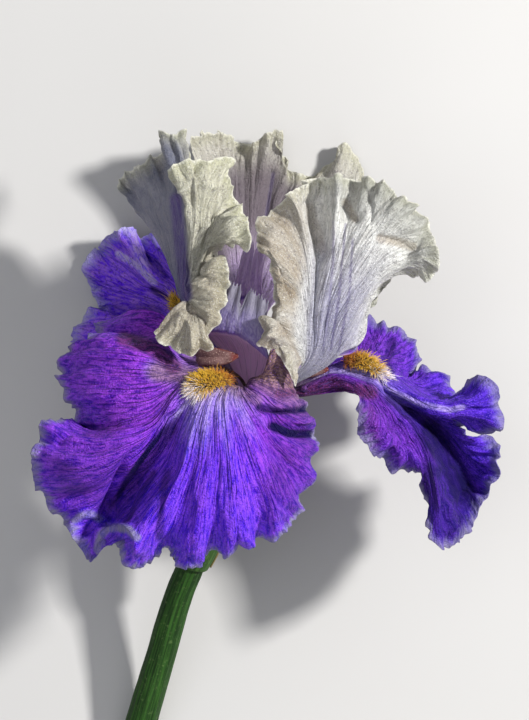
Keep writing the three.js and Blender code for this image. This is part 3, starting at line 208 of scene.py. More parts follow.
STANDARD_RIGHT = [
    [(14.5,9.5,16), (16,12.5,21), (16,12.5,27), (15,10.5,32), (15,8,35), (14,4.5,36)],
    [(14.5,10,17), (16.5,14,22), (15,15,28), (13.5,15,33), (12,14,36), (11.5,10.5,36)],
    [(15,10.5,17), (16.5,15,23), (14.5,17.5,30), (11.5,19,35), (9,18.5,38), (6.5,16,36)],
    [(15,10.5,17.5), (16.5,16.5,24), (14,20,31), (10,22,36), (6.5,21,39), (2,17.5,36)],
    [(15,11,18), (16.5,17.5,24.5), (13.5,23.5,32), (10,26,37), (6.5,26,38), (3,25.5,35)],
    [(15,11,18), (16.5,19,25), (14,26.5,31), (11.5,29,34), (9,29.5,34.5), (6.5,29.5,31.5)],
    [(15.5,11.5,18.5), (16.5,20,25), (14,29.5,30), (12,33,32), (9.5,34,32), (6.5,33.5,31)],
    [(15.5,11.5,19), (16.5,21.5,25), (15,33,29), (12.5,36.5,31), (9.5,39,33), (6.5,41,31)],
    [(15.5,11.5,19), (17,23,25), (15,35.5,29), (12,41,32), (7,45.5,35), (1.5,49,32)],
    [(16,12,19), (17.5,24.5,25), (16,38.5,28), (12.5,46,31), (6.5,50.5,34), (1.5,52.5,31.5)],
    [(16,12,19), (17.5,25.5,25), (16.5,41,28), (12.5,50,30), (8,55,31), (2,57,29)],
    [(16.5,12,19), (18,26,25), (17.5,43.5,27), (14.5,53,27), (11.5,59,26), (8,61.5,23)],
    [(16.5,12.5,19), (18.5,26.5,25), (18.5,45.5,27), (16.5,55.5,29), (14,62,31), (11,65.5,30)],
    [(17,12.5,19), (19,27,25), (19.5,47,26), (19,57,26.5), (18,64,26.5), (17.5,69,26)],
    [(17.5,12.5,19), (20,28,24.5), (21,47.5,24), (21,58,19), (21,64.5,17), (21,71,18)],
    [(18,13,19), (21,28.5,25), (23,48,25.5), (24,58,22.5), (24,65,21), (23.5,71,20)],
    [(18.5,13,19), (22,29,26.5), (25.5,48.5,30), (27,59.5,31), (28,66.5,30), (28,71.5,26)],
    [(19,13,19), (23,29,27), (28,48.5,31), (30.5,58,27), (31.5,64,22), (32,71,18)],
    [(19.5,13,18.5), (23.5,29.5,27), (30,48.5,31), (33.5,60,30), (35.5,65.5,28), (37.5,71,24)],
    [(20,13,18), (24.5,29.5,27), (32,48.5,32), (37.5,59.5,33), (40,65,31), (42.5,70,26)],
    [(20.5,13,17.5), (25.5,29.5,27.5), (34.5,48.5,33), (41,57,34), (45,61.5,35), (48.5,65,31)],
    [(21,13,17), (26.5,29,27.5), (36.5,47.5,33), (43.5,55,34), (48.5,59.5,34), (53,63,28)],
    [(21.5,12.5,16.5), (27.5,28.5,27), (38.5,46,32), (46,52.5,32), (51,55.5,31), (56,58,22)],
    [(21.5,12.5,16), (28.5,28,27), (40,44,31), (47.5,49.5,31), (52,51,30), (58,52,28)],
    [(22,12.5,15.5), (29,27,26.5), (40.5,41.5,31), (48.5,46,31), (53.5,48,33), (59.5,47.5,33)],
    [(22,12,14.5), (29.5,26,25.5), (40.5,39.5,30.5), (48.5,44,31), (53.5,45,34), (60,42.5,32)],
    [(22.5,12,13.5), (30.5,25,24), (40,37.5,28.5), (47,41.5,30), (52,42.5,31), (56,38,28)],
    [(22.5,11.5,12.5), (30.5,23.5,22), (38.5,35,25), (44,39.5,26), (48,41,26), (52,40.5,23)],
    [(23,11,11), (30.5,20,18), (36.5,30.5,18), (39,34,19), (41.5,36.5,16), (43.5,38,16)],
    [(23,10.5,10), (29,16,12), (34,18,11), (36.5,22,12), (36,27,13), (38,31.5,14)],
]
PETALS = {
    "fall_front": (FALL_FRONT, -16, FALL_RING, 1.4, 1.2, 500, 98),
    "fall_right": (FALL_RIGHT, 92, FALL_RING, 1.4, 1.2, 500, 98),
    "fall_back": (FALL_BACK, 216, FALL_RING, 1.4, 1.2, 220, 110),
    "standard_left": (STANDARD_LEFT, 284, STANDARD_RING, 1.3, 1.2, 500, 98),
    "standard_back": (STANDARD_BACK, 165, STANDARD_RING, 1.3, 1.0, 260, 120),
    "standard_right": (STANDARD_RIGHT, 42, STANDARD_RING, 1.3, 0.7, 500, 98),
}  # ribs, azimuth from facing up, ring, ruffle of the margin, creases of the blade, columns and rows

# ---- Folds, painted strokes and tints ----

FOLDS = {
    "fall_front": [
        (-5.4, 1.7, [(-25.5, -5.5), (-31.5, -12), (-38, -20), (-43.5, -31), (-46, -37.5)]),
        (-1.8, 1.3, [(-27, -9), (-34, -20), (-38, -31), (-41, -38)]),
        (-2.4, 2.0, [(-24, -20), (-27, -28), (-29, -36), (-28.5, -45)]),
        (-1.8, 1.5, [(-18, -32), (-19, -40), (-18.5, -50)]),
        (-4.2, 0.8, [(4, -1.5), (10, -3), (17, -2)]),
        (2.0, 1.0, [(5, -4), (11, -6), (18, -5.5)]),
        (-4.2, 0.8, [(6.5, -7), (12, -9.5), (18.5, -9.5)]),
        (-2.4, 1.5, [(7, -27.5), (12, -33), (15, -36)]),
        (-1.6, 1.6, [(-4, -30), (-3, -38), (-5, -46)]),
        (2.6, 1.1, [
            (-48, -46), (-47, -42), (-45, -39.8), (-41.5, -39.2), (-38, -39.8), (-35.4, -42.3), (-35, -46),
        ]),
        (-2.6, 1.8, [(-41, -43.5), (-41.5, -46)]),
        (2.2, 1.1, [(-56, -40), (-55.3, -37.3), (-53, -35.4), (-50, -35), (-47.4, -36.7), (-46.8, -40.4)]),
        (-2.2, 1.6, [(-51, -39), (-51.5, -41)]),
        (-2.0, 0.9, [(-40, 20), (-33, 17), (-26, 12.5)]),
        (-1.4, 1.0, [(-60, -12), (-50, -8), (-42, -7)]),
    ],
    "fall_right": [
        (2.6, 1.2, [(40, 6.5), (46, 3), (53.5, -0.5), (63, -2.5), (68, -1)]),
        (-2.6, 0.8, [(42, 3), (50.5, -4), (58, -13.5), (61, -24)]),
        (1.4, 2.4, [(38.5, 5), (47.5, -2.5), (55.5, -12), (57.5, -21.5)]),
        (-1.6, 1.4, [(63, -20), (62, -30), (58, -40)]),
        (1.6, 0.8, [(59, -21), (64, -22), (62, -26), (65, -29), (62, -33), (65, -37), (61, -41)]),
        (-1.8, 0.9, [(68, -27), (66, -33), (69, -38)]),
        (-1.6, 0.9, [(50, -2), (44, -8), (38, -10)]),
        (-1.4, 0.8, [(53, -10), (47, -14), (42, -16)]),
        (1.6, 1.0, [(17, 4), (26, 7.5), (31, 5.5), (37, 3.5)]),
        (-1.8, 1.0, [(45, 19), (43, 12.5), (44, 9)]),
    ],
    "fall_back": [
        (-2.0, 1.1, [(-22, 31), (-27, 33), (-31.5, 36)]),
        (1.8, 1.5, [(-30, 37.5), (-36, 43), (-42, 46.5)]),
        (-1.6, 1.1, [(-27, 40), (-30, 45), (-31, 51)]),
        (-1.6, 1.2, [(-30, 28), (-42, 29)]),
    ],
    "standard_left": [
        (1.6, 1.8, [(-19, 64), (-21, 51), (-22, 41.5), (-22, 33.5)]),
        (2.4, 1.3, [(-16, 55), (-11, 57.5), (-6, 57.5), (-1.5, 54.5), (0.5, 48.5)]),
        (-2.2, 0.9, [(-13, 50), (-8, 51), (-3, 50)]),
        (-2.0, 0.9, [(-19, 62), (-18, 70), (-14, 76.5)]),
        (-2.0, 0.8, [(-14, 60), (-9, 68), (-4.5, 75)]),
        (1.6, 0.9, [(-23, 66), (-16, 69), (-8, 67)]),
        (-2.0, 0.8, [(-18, 41), (-13, 38.5), (-8, 40)]),
        (1.8, 0.9, [(-18, 37), (-12, 35), (-6, 36.5)]),
        (-2.2, 0.8, [(-20, 30), (-15, 27), (-13, 21)]),
        (1.8, 0.9, [(-22, 27), (-19, 24.5), (-18, 18)]),
        (-1.8, 0.8, [(-24, 24), (-27, 20)]),
    ],
    "standard_back": [
        (-2.5, 1.2, [(7.5, 72.5), (4, 53.5)]),
        (1.6, 1.5, [(-4, 72), (-3, 58)]),
    ],
    "standard_right": [
        (-2.6, 1.7, [(18.5, 63), (20.5, 55), (23, 47)]),
        (2.0, 5.0, [(22, 42), (21, 30)]),
        (-2.6, 1.1, [(30, 63), (33, 57.5)]),
        (-2.6, 1.4, [(40.5, 51.5), (46, 50.5), (51, 49)]),
        (-1.8, 0.9, [(36, 68), (38, 62), (38, 57)]),
        (1.8, 1.0, [(26, 68), (25, 60)]),
        (-1.8, 0.8, [(54, 52), (49, 46)]),
        (-2.0, 0.8, [(5, 47), (10, 41), (13, 33)]),
        (1.6, 0.9, [(3, 42), (8, 37), (10, 30)]),
        (-2.0, 0.8, [(5, 29), (10, 25), (13, 20)]),
        (1.6, 0.8, [(6, 21), (11, 19), (14, 13)]),
    ],
}  # by petal: height or depth, width and line of each fold, as seen from above
# Dark strokes paint shade in creases and cast shadows and pale strokes paint highlights on ridges and
# streaks; on the standards tan strokes paint warm shade in pockets. Rust, silver, the falls' tan and the
# stripes are the petals' own colours.
STROKES = {
    "fall_front": {
        "dark": [
            (0.7, 3.4, [(-25, -8), (-31, -16), (-36, -25), (-41, -35)]),
            (1.15, 1.6, [(-26, -7.5), (-32, -15), (-38.5, -24), (-45, -36)]),
            (0.6, 2.0, [(-26, -22), (-28, -32), (-28.5, -42)]),
            (1.1, 1.9, [(3, -1.5), (10, -3), (17, -2)]),
            (1.15, 2.4, [(7, -7.5), (12, -9.8), (18.5, -10)]),
            (0.5, 2.0, [(7, -27.5), (12, -33), (15, -36)]),
            (0.7, 2.2, [(-41, -43.5), (-41.5, -46)]),
            (0.6, 2.0, [(-51, -39), (-51.5, -41)]),
            (0.5, 12.0, [(14, -8), (15, -18), (11, -30)]),
            (0.4, 12.0, [(-46, -16), (-54, -22)]),
            (0.8, 1.6, [(-30, -22), (-36, -32), (-40, -40)]),
            (0.45, 5.0, [(-47, -32), (-40, -30)]),
        ],
        "silver": [
            (0.95, 1.8, [(-48, -46), (-47, -42), (-45, -39.8), (-41.5, -39.2), (-38, -39.8), (-35.4, -42.3)]),
            (0.85, 1.7, [(-55.3, -37.3), (-53, -35.4), (-50, -35), (-47.4, -36.7)]),
        ],
        "pale": [
            (0.8, 1.4, [(-14, 3), (-17.5, -1)]),
            (0.7, 1.2, [(-19, 0.5), (-23, -4)]),
            (0.25, 5.0, [(-21, 11), (-30, 10)]),
        ],
        "rust": [(0.85, 3.4, [(-40, 20), (-31, 17), (-24, 11)]), (0.7, 2.0, [(9, 2.5), (16, 3.5)])],
        "tan": [(0.65, 4.5, [(-14, 6), (-20, 8.5), (-29, 9.5)]), (0.55, 3.2, [(-5, 4), (2, 1)])],
    },
    "fall_right": {
        "dark": [
            (1.0, 6.4, [(57, -10), (62, -18), (65, -25), (68, -31)]),
            (0.75, 12.0, [(58, -26), (63, -36)]),
            (0.8, 1.3, [(43, 1.5), (50, -5), (57, -15)]),
            (0.6, 2.2, [(45, 19), (43, 12.5), (44, 9)]),
        ],
        "pale": [(0.5, 1.2, [(40, 6.5), (46, 3), (53.5, -0.5), (63, -2.5), (67, -1.5)])],
        "rust": [(0.9, 3.4, [(16, 2), (26, 6), (31, 4), (38, 3)]), (0.5, 5.0, [(36, -4), (38, -12)])],
    },
    "fall_back": {
        "dark": [
            (0.75, 1.5, [(-22, 31.5), (-26.5, 33), (-31, 36)]),
            (0.45, 4.0, [(-30, 28), (-42, 29)]),
            (0.5, 1.2, [(-27, 40), (-30, 45)]),
        ],
        "pale": [(0.8, 1.5, [(-30.5, 38), (-36, 43.5), (-42, 47)]), (0.4, 3.0, [(-34, 44), (-37, 52)])],
    },
    "standard_left": {
        "stripe": [(0.95, 2.8, [(-23.4, 64), (-21.8, 48), (-20, 33.5)])],
    },
    "standard_back": {
        "stripe": [(0.35, 0.9, [(7.3, 72.7), (4.1, 53.4)])],
        "tan": [(0.5, 6.0, [(2, 70), (1, 58)])],
    },
    "standard_right": {
        "stripe": [
            (0.5, 0.6, [(30, 56), (29, 45), (27.8, 32), (25.3, 16.5)]),
            (0.5, 0.6, [(32.2, 51), (31.3, 35.5), (27.8, 16.5)]),
            (0.4, 0.6, [(26.2, 57), (26.2, 45), (24.6, 29), (22.8, 16.5)]),
        ],
        "tan": [
            (0.5, 2.8, [(18.5, 61), (20.5, 54), (22.5, 48)]),
            (0.7, 1.8, [(30, 63), (33, 57.5)]),
            (0.7, 2.2, [(41, 51.5), (46, 50.5), (51, 49)]),
        ],
    },
}  # by petal: strength, width and line of each painted stroke, as seen from above
TINTS = {
    "fall_front": {
        "blush": ([0, 0.25, 0.42, 0.52, 0.7, 0.8, 1], [0.95, 0.8, 0.4, 0.05, 0.1, 0.7, 1]),
        "pale": ([0, 0.2, 0.35, 0.48, 0.6, 0.78, 0.9], [0.3, 0.35, 0.4, 0.75, 1, 0.6, 0]),
        "pale_out": (0.24, 0.5),
        "haft_out": (0.2, 0.38),
        "shoulder": ([0.87, 0.93, 1], [0, 0.95, 1]),
    },
    "fall_right": {
        "blush": ([0, 0.2, 0.34, 0.66, 0.8, 1], [1, 0.8, 0.15, 0.1, 0.4, 0.8]),
        "pale": ([0.2, 0.33, 0.5, 0.65, 0.8], [0, 0.5, 0.8, 0.4, 0]),
        "pale_out": (0.36, 0.62),
        "haft_out": (0.1, 0.3),
    },
    "fall_back": {
        "blush": ([0, 0.4, 1], [0.1, 0, 0.25]),
        "pale": ([0.2, 0.38, 0.6], [0, 0.5, 0]),
        "pale_out": (0.35, 0.6),
        "haft_out": (0.1, 0.27),
    },
    # On the standards tan is painted warm shade and shade is painted shade where light falls less; lavender
    # is their own colour
    "standard_left": {
        "lavender": ([0, 0.3, 0.5, 1], [0.7, 0.5, 0.25, 0.1]),
        "lavender_out": (0.22, 0.78),
        "tan": ([0.6, 0.72, 1], [0, 0.55, 0.75]),
        "shade": ([0, 0.28, 0.36], [0.85, 0.8, 0]),
        "shade_in": (-1, 0),
        "shade_out": (0.9, 1.06),
    },
    "standard_back": {
        "lavender": ([0, 1], [1, 1]),
        "lavender_out": (0.35, 0.85),
        "tan": ([0, 1], [0.25, 0.25]),
        "shade": ([0, 1], [0.9, 0.9]),
        "shade_in": (0.46, 0.64),
        "shade_out": (0.74, 0.96),
    },
    "standard_right": {
        "lavender": ([0, 0.3, 0.5, 0.8, 1], [0.1, 0.35, 0.8, 0.9, 0.75]),
        "lavender_out": (0.28, 0.64),
        "tan": ([0, 0.36, 0.5], [1, 0.95, 0]),
        "shade": ([0.5, 0.62, 1], [0, 0.6, 0.5]),
        "shade_in": (0.58, 0.86),
        "shade_out": (1.5, 2),
    },
}  # by petal: places u across it, each tint's strength there, and shares of its length to come in or go out
NO_TINT = ([0, 1], [0, 0])

# ---- Curves, noise and meshes ----

NOISE_CELLS = 67  # squares after which the noise repeats
NOISE_GAIN = 1.4  # brings the noise to about -1 to 1
WRINKLE_STEP = 2.1  # how much closer the second set of wrinkles lies
FOLD_ROUND = 0.03  # rounds the crease of a fold
STROKE_WHOLE = 0.35  # share of a stroke's width over which it is whole


def curve_weights(count, t):
    """How much each of count evenly spaced points weighs at each share t of the smooth curve through them.

    At f of the way from b to c, with a before and d after them, the weights are a: -f/2 + f^2 - f^3/2, b: 1
    - 5f^2/2 + 3f^3/2, c: f/2 + 2f^2 - 3f^3/2 and d: -f^2/2 + f^3/2. At both ends the missing neighbour is
    2b - c, so that the curve runs out straight.
    """
    x = np.clip(t, 0, 1) * (count - 1)
    i = np.minimum(x.astype(int), count - 2)
    f = x - i
    parts = (
        -0.5 * f + f**2 - 0.5 * f**3,
        1 - 2.5 * f**2 + 1.5 * f**3,
        0.5 * f + 2 * f**2 - 1.5 * f**3,
        -0.5 * f**2 + 0.5 * f**3,
    )
    padded = np.zeros(np.shape(t) + (count + 2,))
    for k, part in enumerate(parts):
        np.put_along_axis(padded, (i + k)[..., None], part[..., None], axis=-1)
    weights = padded[..., 1:-1].copy()
    weights[..., 0] += 2 * padded[..., 0]
    weights[..., 1] -= padded[..., 0]
    weights[..., -1] += 2 * padded[..., -1]
    weights[..., -2] -= padded[..., -1]
    return weights


def through(points, t):
    """The points at shares t of the smooth curve through evenly spaced points."""
    return curve_weights(len(points), np.asarray(t, float)) @ np.asarray(points, float)


def smoothstep(x, low, high):
    """0 at low, 1 at high, 3t^2 - 2t^3 between them and level past them. low may be the greater one."""
    t = np.clip((x - low) / (high - low), 0, 1)
    return t * t * (3 - 2 * t)


def noise(x, y, seed):
    """Smooth noise from -1 to 1: a random slope at each whole number of x and y, blended by 6t^5 - 15t^4 +
    10t^3."""
    x, y = np.broadcast_arrays(np.asarray(x, float), np.asarray(y, float))
    angles = np.random.default_rng(seed).uniform(0, 2 * np.pi, (NOISE_CELLS, NOISE_CELLS))
    i, j = np.floor(x).astype(int), np.floor(y).astype(int)
    f, g = x - i, y - j
    a, b = (t * t * t * (t * (6 * t - 15) + 10) for t in (f, g))
    total = 0
    for di in (0, 1):
        for dj in (0, 1):
            angle = angles[(i + di) % NOISE_CELLS, (j + dj) % NOISE_CELLS]
            slope = np.cos(angle) * (f - di) + np.sin(angle) * (g - dj)
            total = total + slope * (a if di else 1 - a) * (b if dj else 1 - b)
    return NOISE_GAIN * total


def wrinkles(x, y, seed):
    """Sharp wrinkles, 0 to 1: one less the size of the noise, squared, plus half as much of a closer set."""
    first = (1 - np.abs(noise(x, y, seed))) ** 2
    second = (1 - np.abs(noise(WRINKLE_STEP * x + 0.5, WRINKLE_STEP * y, seed + 1))) ** 2
    return (first + 0.5 * second) / 1.5


def distance_to_line(points, line):
    """The least distance, seen from above, from each point to the straight pieces of a line."""
    x, y = points[..., 0], points[..., 1]
    least = np.full(x.shape, np.inf)
    for (ax, ay), (bx, by) in zip(line[:-1], line[1:]):
        ux, uy = bx - ax, by - ay
        t = np.clip(((x - ax) * ux + (y - ay) * uy) / (ux * ux + uy * uy), 0, 1)
        least = np.minimum(least, np.hypot(x - ax - t * ux, y - ay - t * uy))
    return least


def folds_height(points, folds):
    """The height that folds give a surface seen from above: by fold, its height times e to the power of
    -sqrt(d^2 / width^2 + FOLD_ROUND), with d the distance to its line."""
    total = np.zeros(points.shape[:2])
    for height, width, line in folds:
        off = distance_to_line(points, line) / width
        total += height * np.exp(-np.sqrt(off * off + FOLD_ROUND))
    return total


def stroke_mask(points, strokes):
    """The greatest of some strokes' strengths over a surface seen from above. A stroke is whole within
    STROKE_WHOLE of its width from its line and has faded out a width away."""
    total = np.zeros(points.shape[:2])
    for strength, width, line in strokes:
        off = distance_to_line(points, line) / width
        total = np.maximum(total, strength * (1 - smoothstep(off, STROKE_WHOLE, 1)))
    return total


def random_from(seed):
    """Repeatable random numbers from 0 to 1: state times 1664525 plus 1013904223, modulo 2^32, over 2^32."""
    state = seed
    while True:
        state = (state * 1664525 + 1013904223) % 2**32
        yield state / 2**32


def grid_normals(points):
    """The unit normals of a grid of points: the step along its second index crossed with that along its
    first."""
    return unit(np.cross(np.gradient(points, axis=1), np.gradient(points, axis=0)))


def grid_faces(columns, rows, closed=False):
    """The corners of a grid's quads, turned so that they face the same way as grid_normals."""
    i = np.arange(columns if closed else columns - 1)[:, None]
    j = np.arange(rows - 1)[None, :]
    n = (i + 1) % columns
    return np.stack(
        [i * rows + j, i * rows + j + 1, n * rows + j + 1, n * rows + j], axis=-1
    ).reshape(-1, 4)


def capped_faces(sides, steps):
    """The faces of a closed tube of points that turn the right way round its path, with a point after them
    all for its first end and one for its last."""
    faces = grid_faces(sides, steps, closed=True)[:, ::-1].tolist()
    first, last = sides * steps, sides * steps + 1
    for k in range(sides):
        n = (k + 1) % sides
        faces.append([k * steps, first, n * steps])
        faces.append([n * steps + steps - 1, last, k * steps + steps - 1])
    return faces


def make_piece(node, points, faces, material, masks, uv=None):
    """A finished piece: points in millimetres from the throat, faces as lists of corners, masks and uv by
    point."""
    mesh = bpy.data.meshes.new(node)
    mesh.from_pydata(((points + THROAT) * MM).tolist(), [], [list(map(int, f)) for f in faces])
    mesh.polygons.foreach_set("use_smooth", np.ones(len(mesh.polygons), bool))
    if uv is not None:
        corners = np.empty(len(mesh.loops), int)
        mesh.loops.foreach_get("vertex_index", corners)
        layer = mesh.uv_layers.new(name="petal")
        layer.data.foreach_set("uv", uv[corners].astype(np.float32).ravel())
    for key, values in masks.items():
        layer = mesh.attributes.new(key, "FLOAT", "POINT")
        layer.data.foreach_set("value", values.astype(np.float32).ravel())
    mesh.materials.append(material)
    mesh.validate()
    piece = bpy.data.objects.new(node, mesh)
    bpy.context.scene.collection.objects.link(piece)
    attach(piece, "root")
    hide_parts(node)


def make_shell(node, middle, half, masks, material, mapped=False):
    """A thin closed shell: the grid moved by half along its normals for one face and back for the other,
    joined by a rim. Masks are by grid point, and a mask that is a pair is for the two faces."""
    columns, rows = middle.shape[:2]
    step = grid_normals(middle) * half[..., None]
    points = np.concatenate([(middle + step).reshape(-1, 3), (middle - step).reshape(-1, 3)])
    over = grid_faces(columns, rows)
    under = over[:, ::-1] + columns * rows
    number = np.arange(columns * rows).reshape(columns, rows)
    rim = np.concatenate(
        [number[:-1, 0], number[-1, :-1], number[:0:-1, -1], number[0, :0:-1]]
    )
    ahead = np.roll(rim, -1)
    sides = np.stack([rim, ahead, ahead + columns * rows, rim + columns * rows], axis=-1)
    both = {}
    for key, value in masks.items():
        pair = value if isinstance(value, tuple) else (value, value)
        both[key] = np.concatenate([np.broadcast_to(one, (columns, rows)).ravel() for one in pair])
    uv = np.stack([both["across"] / 100, both["along"]], axis=-1) if mapped else None
    make_piece(node, points, np.concatenate([over, under, sides]), material, both, uv)


def loft(path, radius, sides, steps):
    """A closed solid along a path: at share t and angle a its skin is radius(t, a) out from the path, and
    both ends close on a point. Returns the points, the faces, and t and the angle of each point."""
    t = np.linspace(0, 1, steps)
    middle = through(path, t)
    along = unit(np.gradient(middle, axis=0))
    across = np.empty_like(along)
    way = FACING
    for k in range(steps):
        way = unit(way - along[k] * (way @ along[k]))
        across[k] = way
    other = np.cross(along, across)
    angle = np.linspace(0, 2 * np.pi, sides, endpoint=False)[:, None]
    out = radius(t[None, :], angle)[..., None]
    ring = middle + out * (across * np.cos(angle)[..., None] + other * np.sin(angle)[..., None])
    points = np.concatenate([ring.reshape(-1, 3), middle[:1], middle[-1:]])
    shares = np.concatenate([np.tile(t, sides), [0, 1]])
    angles = np.concatenate([np.repeat(angle, steps), [0, 0]])
    return points, capped_faces(sides, steps), shares, angles


# ---- Finishes ----


def colour(code):
    """A screen colour such as #5b36c4 as linear red, green, blue and a whole alpha."""
    parts = np.array([int(code[k : k + 2], 16) for k in (1, 3, 5)]) / 255
    linear = np.where(parts <= 0.04045, parts / 12.92, ((parts + 0.055) / 1.055) ** 2.4)
    return (*linear.tolist(), 1.0)


class Nodes:
    """Adds nodes to one tree. An input that is a socket is linked, and any other is set."""

    def __init__(self, tree):
        self.tree = tree

    def add(self, kind, inputs=None, **settings):
        made = self.tree.nodes.new(kind)
        for name, value in settings.items():
            setattr(made, name, value)
        for name, value in (inputs or {}).items():
            if isinstance(value, bpy.types.NodeSocket):
                self.tree.links.new(value, made.inputs[name])
            else:
                made.inputs[name].default_value = value
        return made

    def maths(self, operation, a, b=0.0, clamp=False):
        return self.add("ShaderNodeMath", {0: a, 1: b}, operation=operation, use_clamp=clamp).outputs[0]

    def times(self, a, b, clamp=False):
        return self.maths("MULTIPLY", a, b, clamp)

    def plus(self, a, b):
        return self.maths("ADD", a, b)

    def less(self, a, b):
        return self.maths("SUBTRACT", a, b)

    def most(self, a, b):
        return self.maths("MAXIMUM", a, b)

    def smooth(self, value, low, high):
        """0 where value is low, 1 where it is high, and smooth between."""
        inputs = {"Value": value, "From Min": low, "From Max": high}
        return self.add("ShaderNodeMapRange", inputs, interpolation_type="SMOOTHSTEP").outputs[0]

    def mix(self, share, low, high, blend="MIX"):
        """From low to high by share. Either may be a colour's code."""
        low, high = (colour(side) if isinstance(side, str) else side for side in (low, high))
        made = self.add("ShaderNodeMix", {0: share, 6: low, 7: high}, data_type="RGBA", blend_type=blend)
        return made.outputs[2]

    def noise(self, vector, scale, detail=3.0, roughness=0.5, distortion=0.0):
        inputs = {"Vector": vector, "Scale": scale, "Detail": detail, "Roughness": roughness}
        inputs["Distortion"] = distortion
        return self.add("ShaderNodeTexNoise", inputs).outputs["Fac"]

    def attribute(self, name):
        return self.add("ShaderNodeAttribute", attribute_name=name).outputs["Fac"]

    def place(self):
        return self.add("ShaderNodeTexCoord").outputs["Object"]

    def vector(self, x, y, z=0.0):
        return self.add("ShaderNodeCombineXYZ", {0: x, 1: y, 2: z}).outputs[0]

    def group(self, tree, **values):
        """A group placed in this tree with its own values. Gives back its outputs."""
        return self.add("ShaderNodeGroup", values, node_tree=tree).outputs


def make_group(name, inputs, outputs, build):
    """A shader node group with float inputs and their defaults, float outputs, and build(nodes, inputs) to
    fill it."""
    tree = bpy.data.node_groups.new(name, "ShaderNodeTree")
    for key, value in inputs.items():
        socket = tree.interface.new_socket(name=key, in_out="INPUT", socket_type="NodeSocketFloat")
        socket.default_value = value
    for key in outputs:
        tree.interface.new_socket(name=key, in_out="OUTPUT", socket_type="NodeSocketFloat")
    made = build(Nodes(tree), tree.nodes.new("NodeGroupInput").outputs)
    end = tree.nodes.new("NodeGroupOutput")
    for key, socket in made.items():
        tree.links.new(socket, end.inputs[key])
    return tree


def build_veins(nodes, given):
    """Veins run along a petal in four sets, each twice as close as the one before. A set shows where its
    veins, drawn apart by the petal's spread, stand far enough from each other. They are patchy and fade
    outwards."""
    along, across, spread = (nodes.attribute(name) for name in ("along", "across", "spread"))
    sway = nodes.noise(nodes.vector(nodes.times(across, 0.12), nodes.times(along, 3.0)), 1.0)
    line = nodes.plus(across, nodes.times(nodes.less(sway, 0.5), given["Sway"]))
    total = 0.0
    for k in range(4):
        apart = nodes.times(given["Apart"], 0.5**k)
        share = nodes.maths("FRACT", nodes.maths("DIVIDE", line, apart))
        gap = nodes.times(apart, spread)
        off = nodes.times(nodes.maths("ABSOLUTE", nodes.less(share, 0.5)), gap)
        width = nodes.times(given["Width"], 1.0 - 0.16 * k)
        mark = nodes.less(1.0, nodes.smooth(off, 0.0, width))
        shown = nodes.smooth(gap, given["Closest"], nodes.times(given["Closest"], 1.7))
        total = nodes.most(total, nodes.times(mark, shown))
    patchy = nodes.noise(nodes.vector(nodes.times(across, 0.5), nodes.times(along, 9.0)), 1.0)
    total = nodes.times(total, nodes.smooth(patchy, 0.25, 0.62))
    outer = nodes.times(nodes.smooth(along, 0.45, 0.95), 0.75)
    return {"Mask": nodes.times(total, nodes.less(1.0, outer))}


def build_crepe(nodes, given):
    """The crepe of a petal's skin: folds drawn out along the veins, with a finer grain, and masks of painted
    glints and of painted shade in hollows on them."""
    place = nodes.place()
    drawn = nodes.vector(nodes.attribute("across"), nodes.times(nodes.attribute("along"), 26.0))
    folds = nodes.noise(drawn, given["Fold"], 4.0, 0.62, 0.7)
    grain = nodes.noise(place, given["Grain"], 2.0, 0.6)
    # Noise for painted glints and for painted shade in hollows, which the finishes mix into their colours
    glint_noise = nodes.noise(place, nodes.times(given["Grain"], 1.9), 1.0, 0.4)
    hollow_shade_noise = nodes.noise(place, nodes.times(given["Grain"], 0.8), 2.0, 0.5)
    smoother = nodes.times(folds, nodes.less(1.0, given["Grit"]))
    return {
        "Height": nodes.plus(smoother, nodes.times(grain, given["Grit"])),
        "Folds": folds,
        "Cells": nodes.smooth(glint_noise, 0.56, 0.72),
        "Hollows": nodes.less(1.0, nodes.smooth(hollow_shade_noise, 0.3, 0.46)),
    }


def build_margin(nodes, given):
    """A band along a petal's margin with a ragged inner side, from the distance to the margin in
    millimetres."""
    ragged = nodes.noise(nodes.vector(nodes.times(nodes.attribute("across"), 0.6), 0.0), 1.0, 3.0)
    off = nodes.plus(nodes.attribute("margin"), nodes.times(nodes.less(ragged, 0.5), given["Ragged"]))
    return {"Mask": nodes.less(1.0, nodes.smooth(off, 0.0, given["Width"]))}


VEINS = make_group(
    "petal veins", {"Apart": 7.0, "Width": 0.25, "Closest": 1.3, "Sway": 3.0}, ["Mask"], build_veins
)
CREPE = make_group(
    "petal crepe",
    {"Fold": 0.7, "Grain": 1500.0, "Grit": 0.3},
    ["Height", "Folds", "Cells", "Hollows"],
    build_crepe,
)
MARGIN = make_group("petal margin", {"Width": 3.0, "Ragged": 3.0}, ["Mask"], build_margin)


def new_material(name, **sockets):
    """An empty material with a Principled shader whose own sockets take the plain values given."""
    material = bpy.data.materials.new(name)
    material.use_nodes = True
    shader = material.node_tree.nodes["Principled BSDF"]
    for key, value in sockets.items():
        shader.inputs[key.replace("_", " ")].default_value = value
    return material, Nodes(material.node_tree), shader


def dress(nodes, shader, skin, height=None, distance=0.0):
    """Colours the shader by skin and, where there is a height, bumps it by that times distance, in metres."""
    nodes.tree.links.new(skin, shader.inputs["Base Color"])
    if height is not None:
        bump = nodes.add("ShaderNodeBump", {"Height": height, "Distance": distance, "Strength": 1.0})
        nodes.tree.links.new(bump.outputs[0], shader.inputs["Normal"])


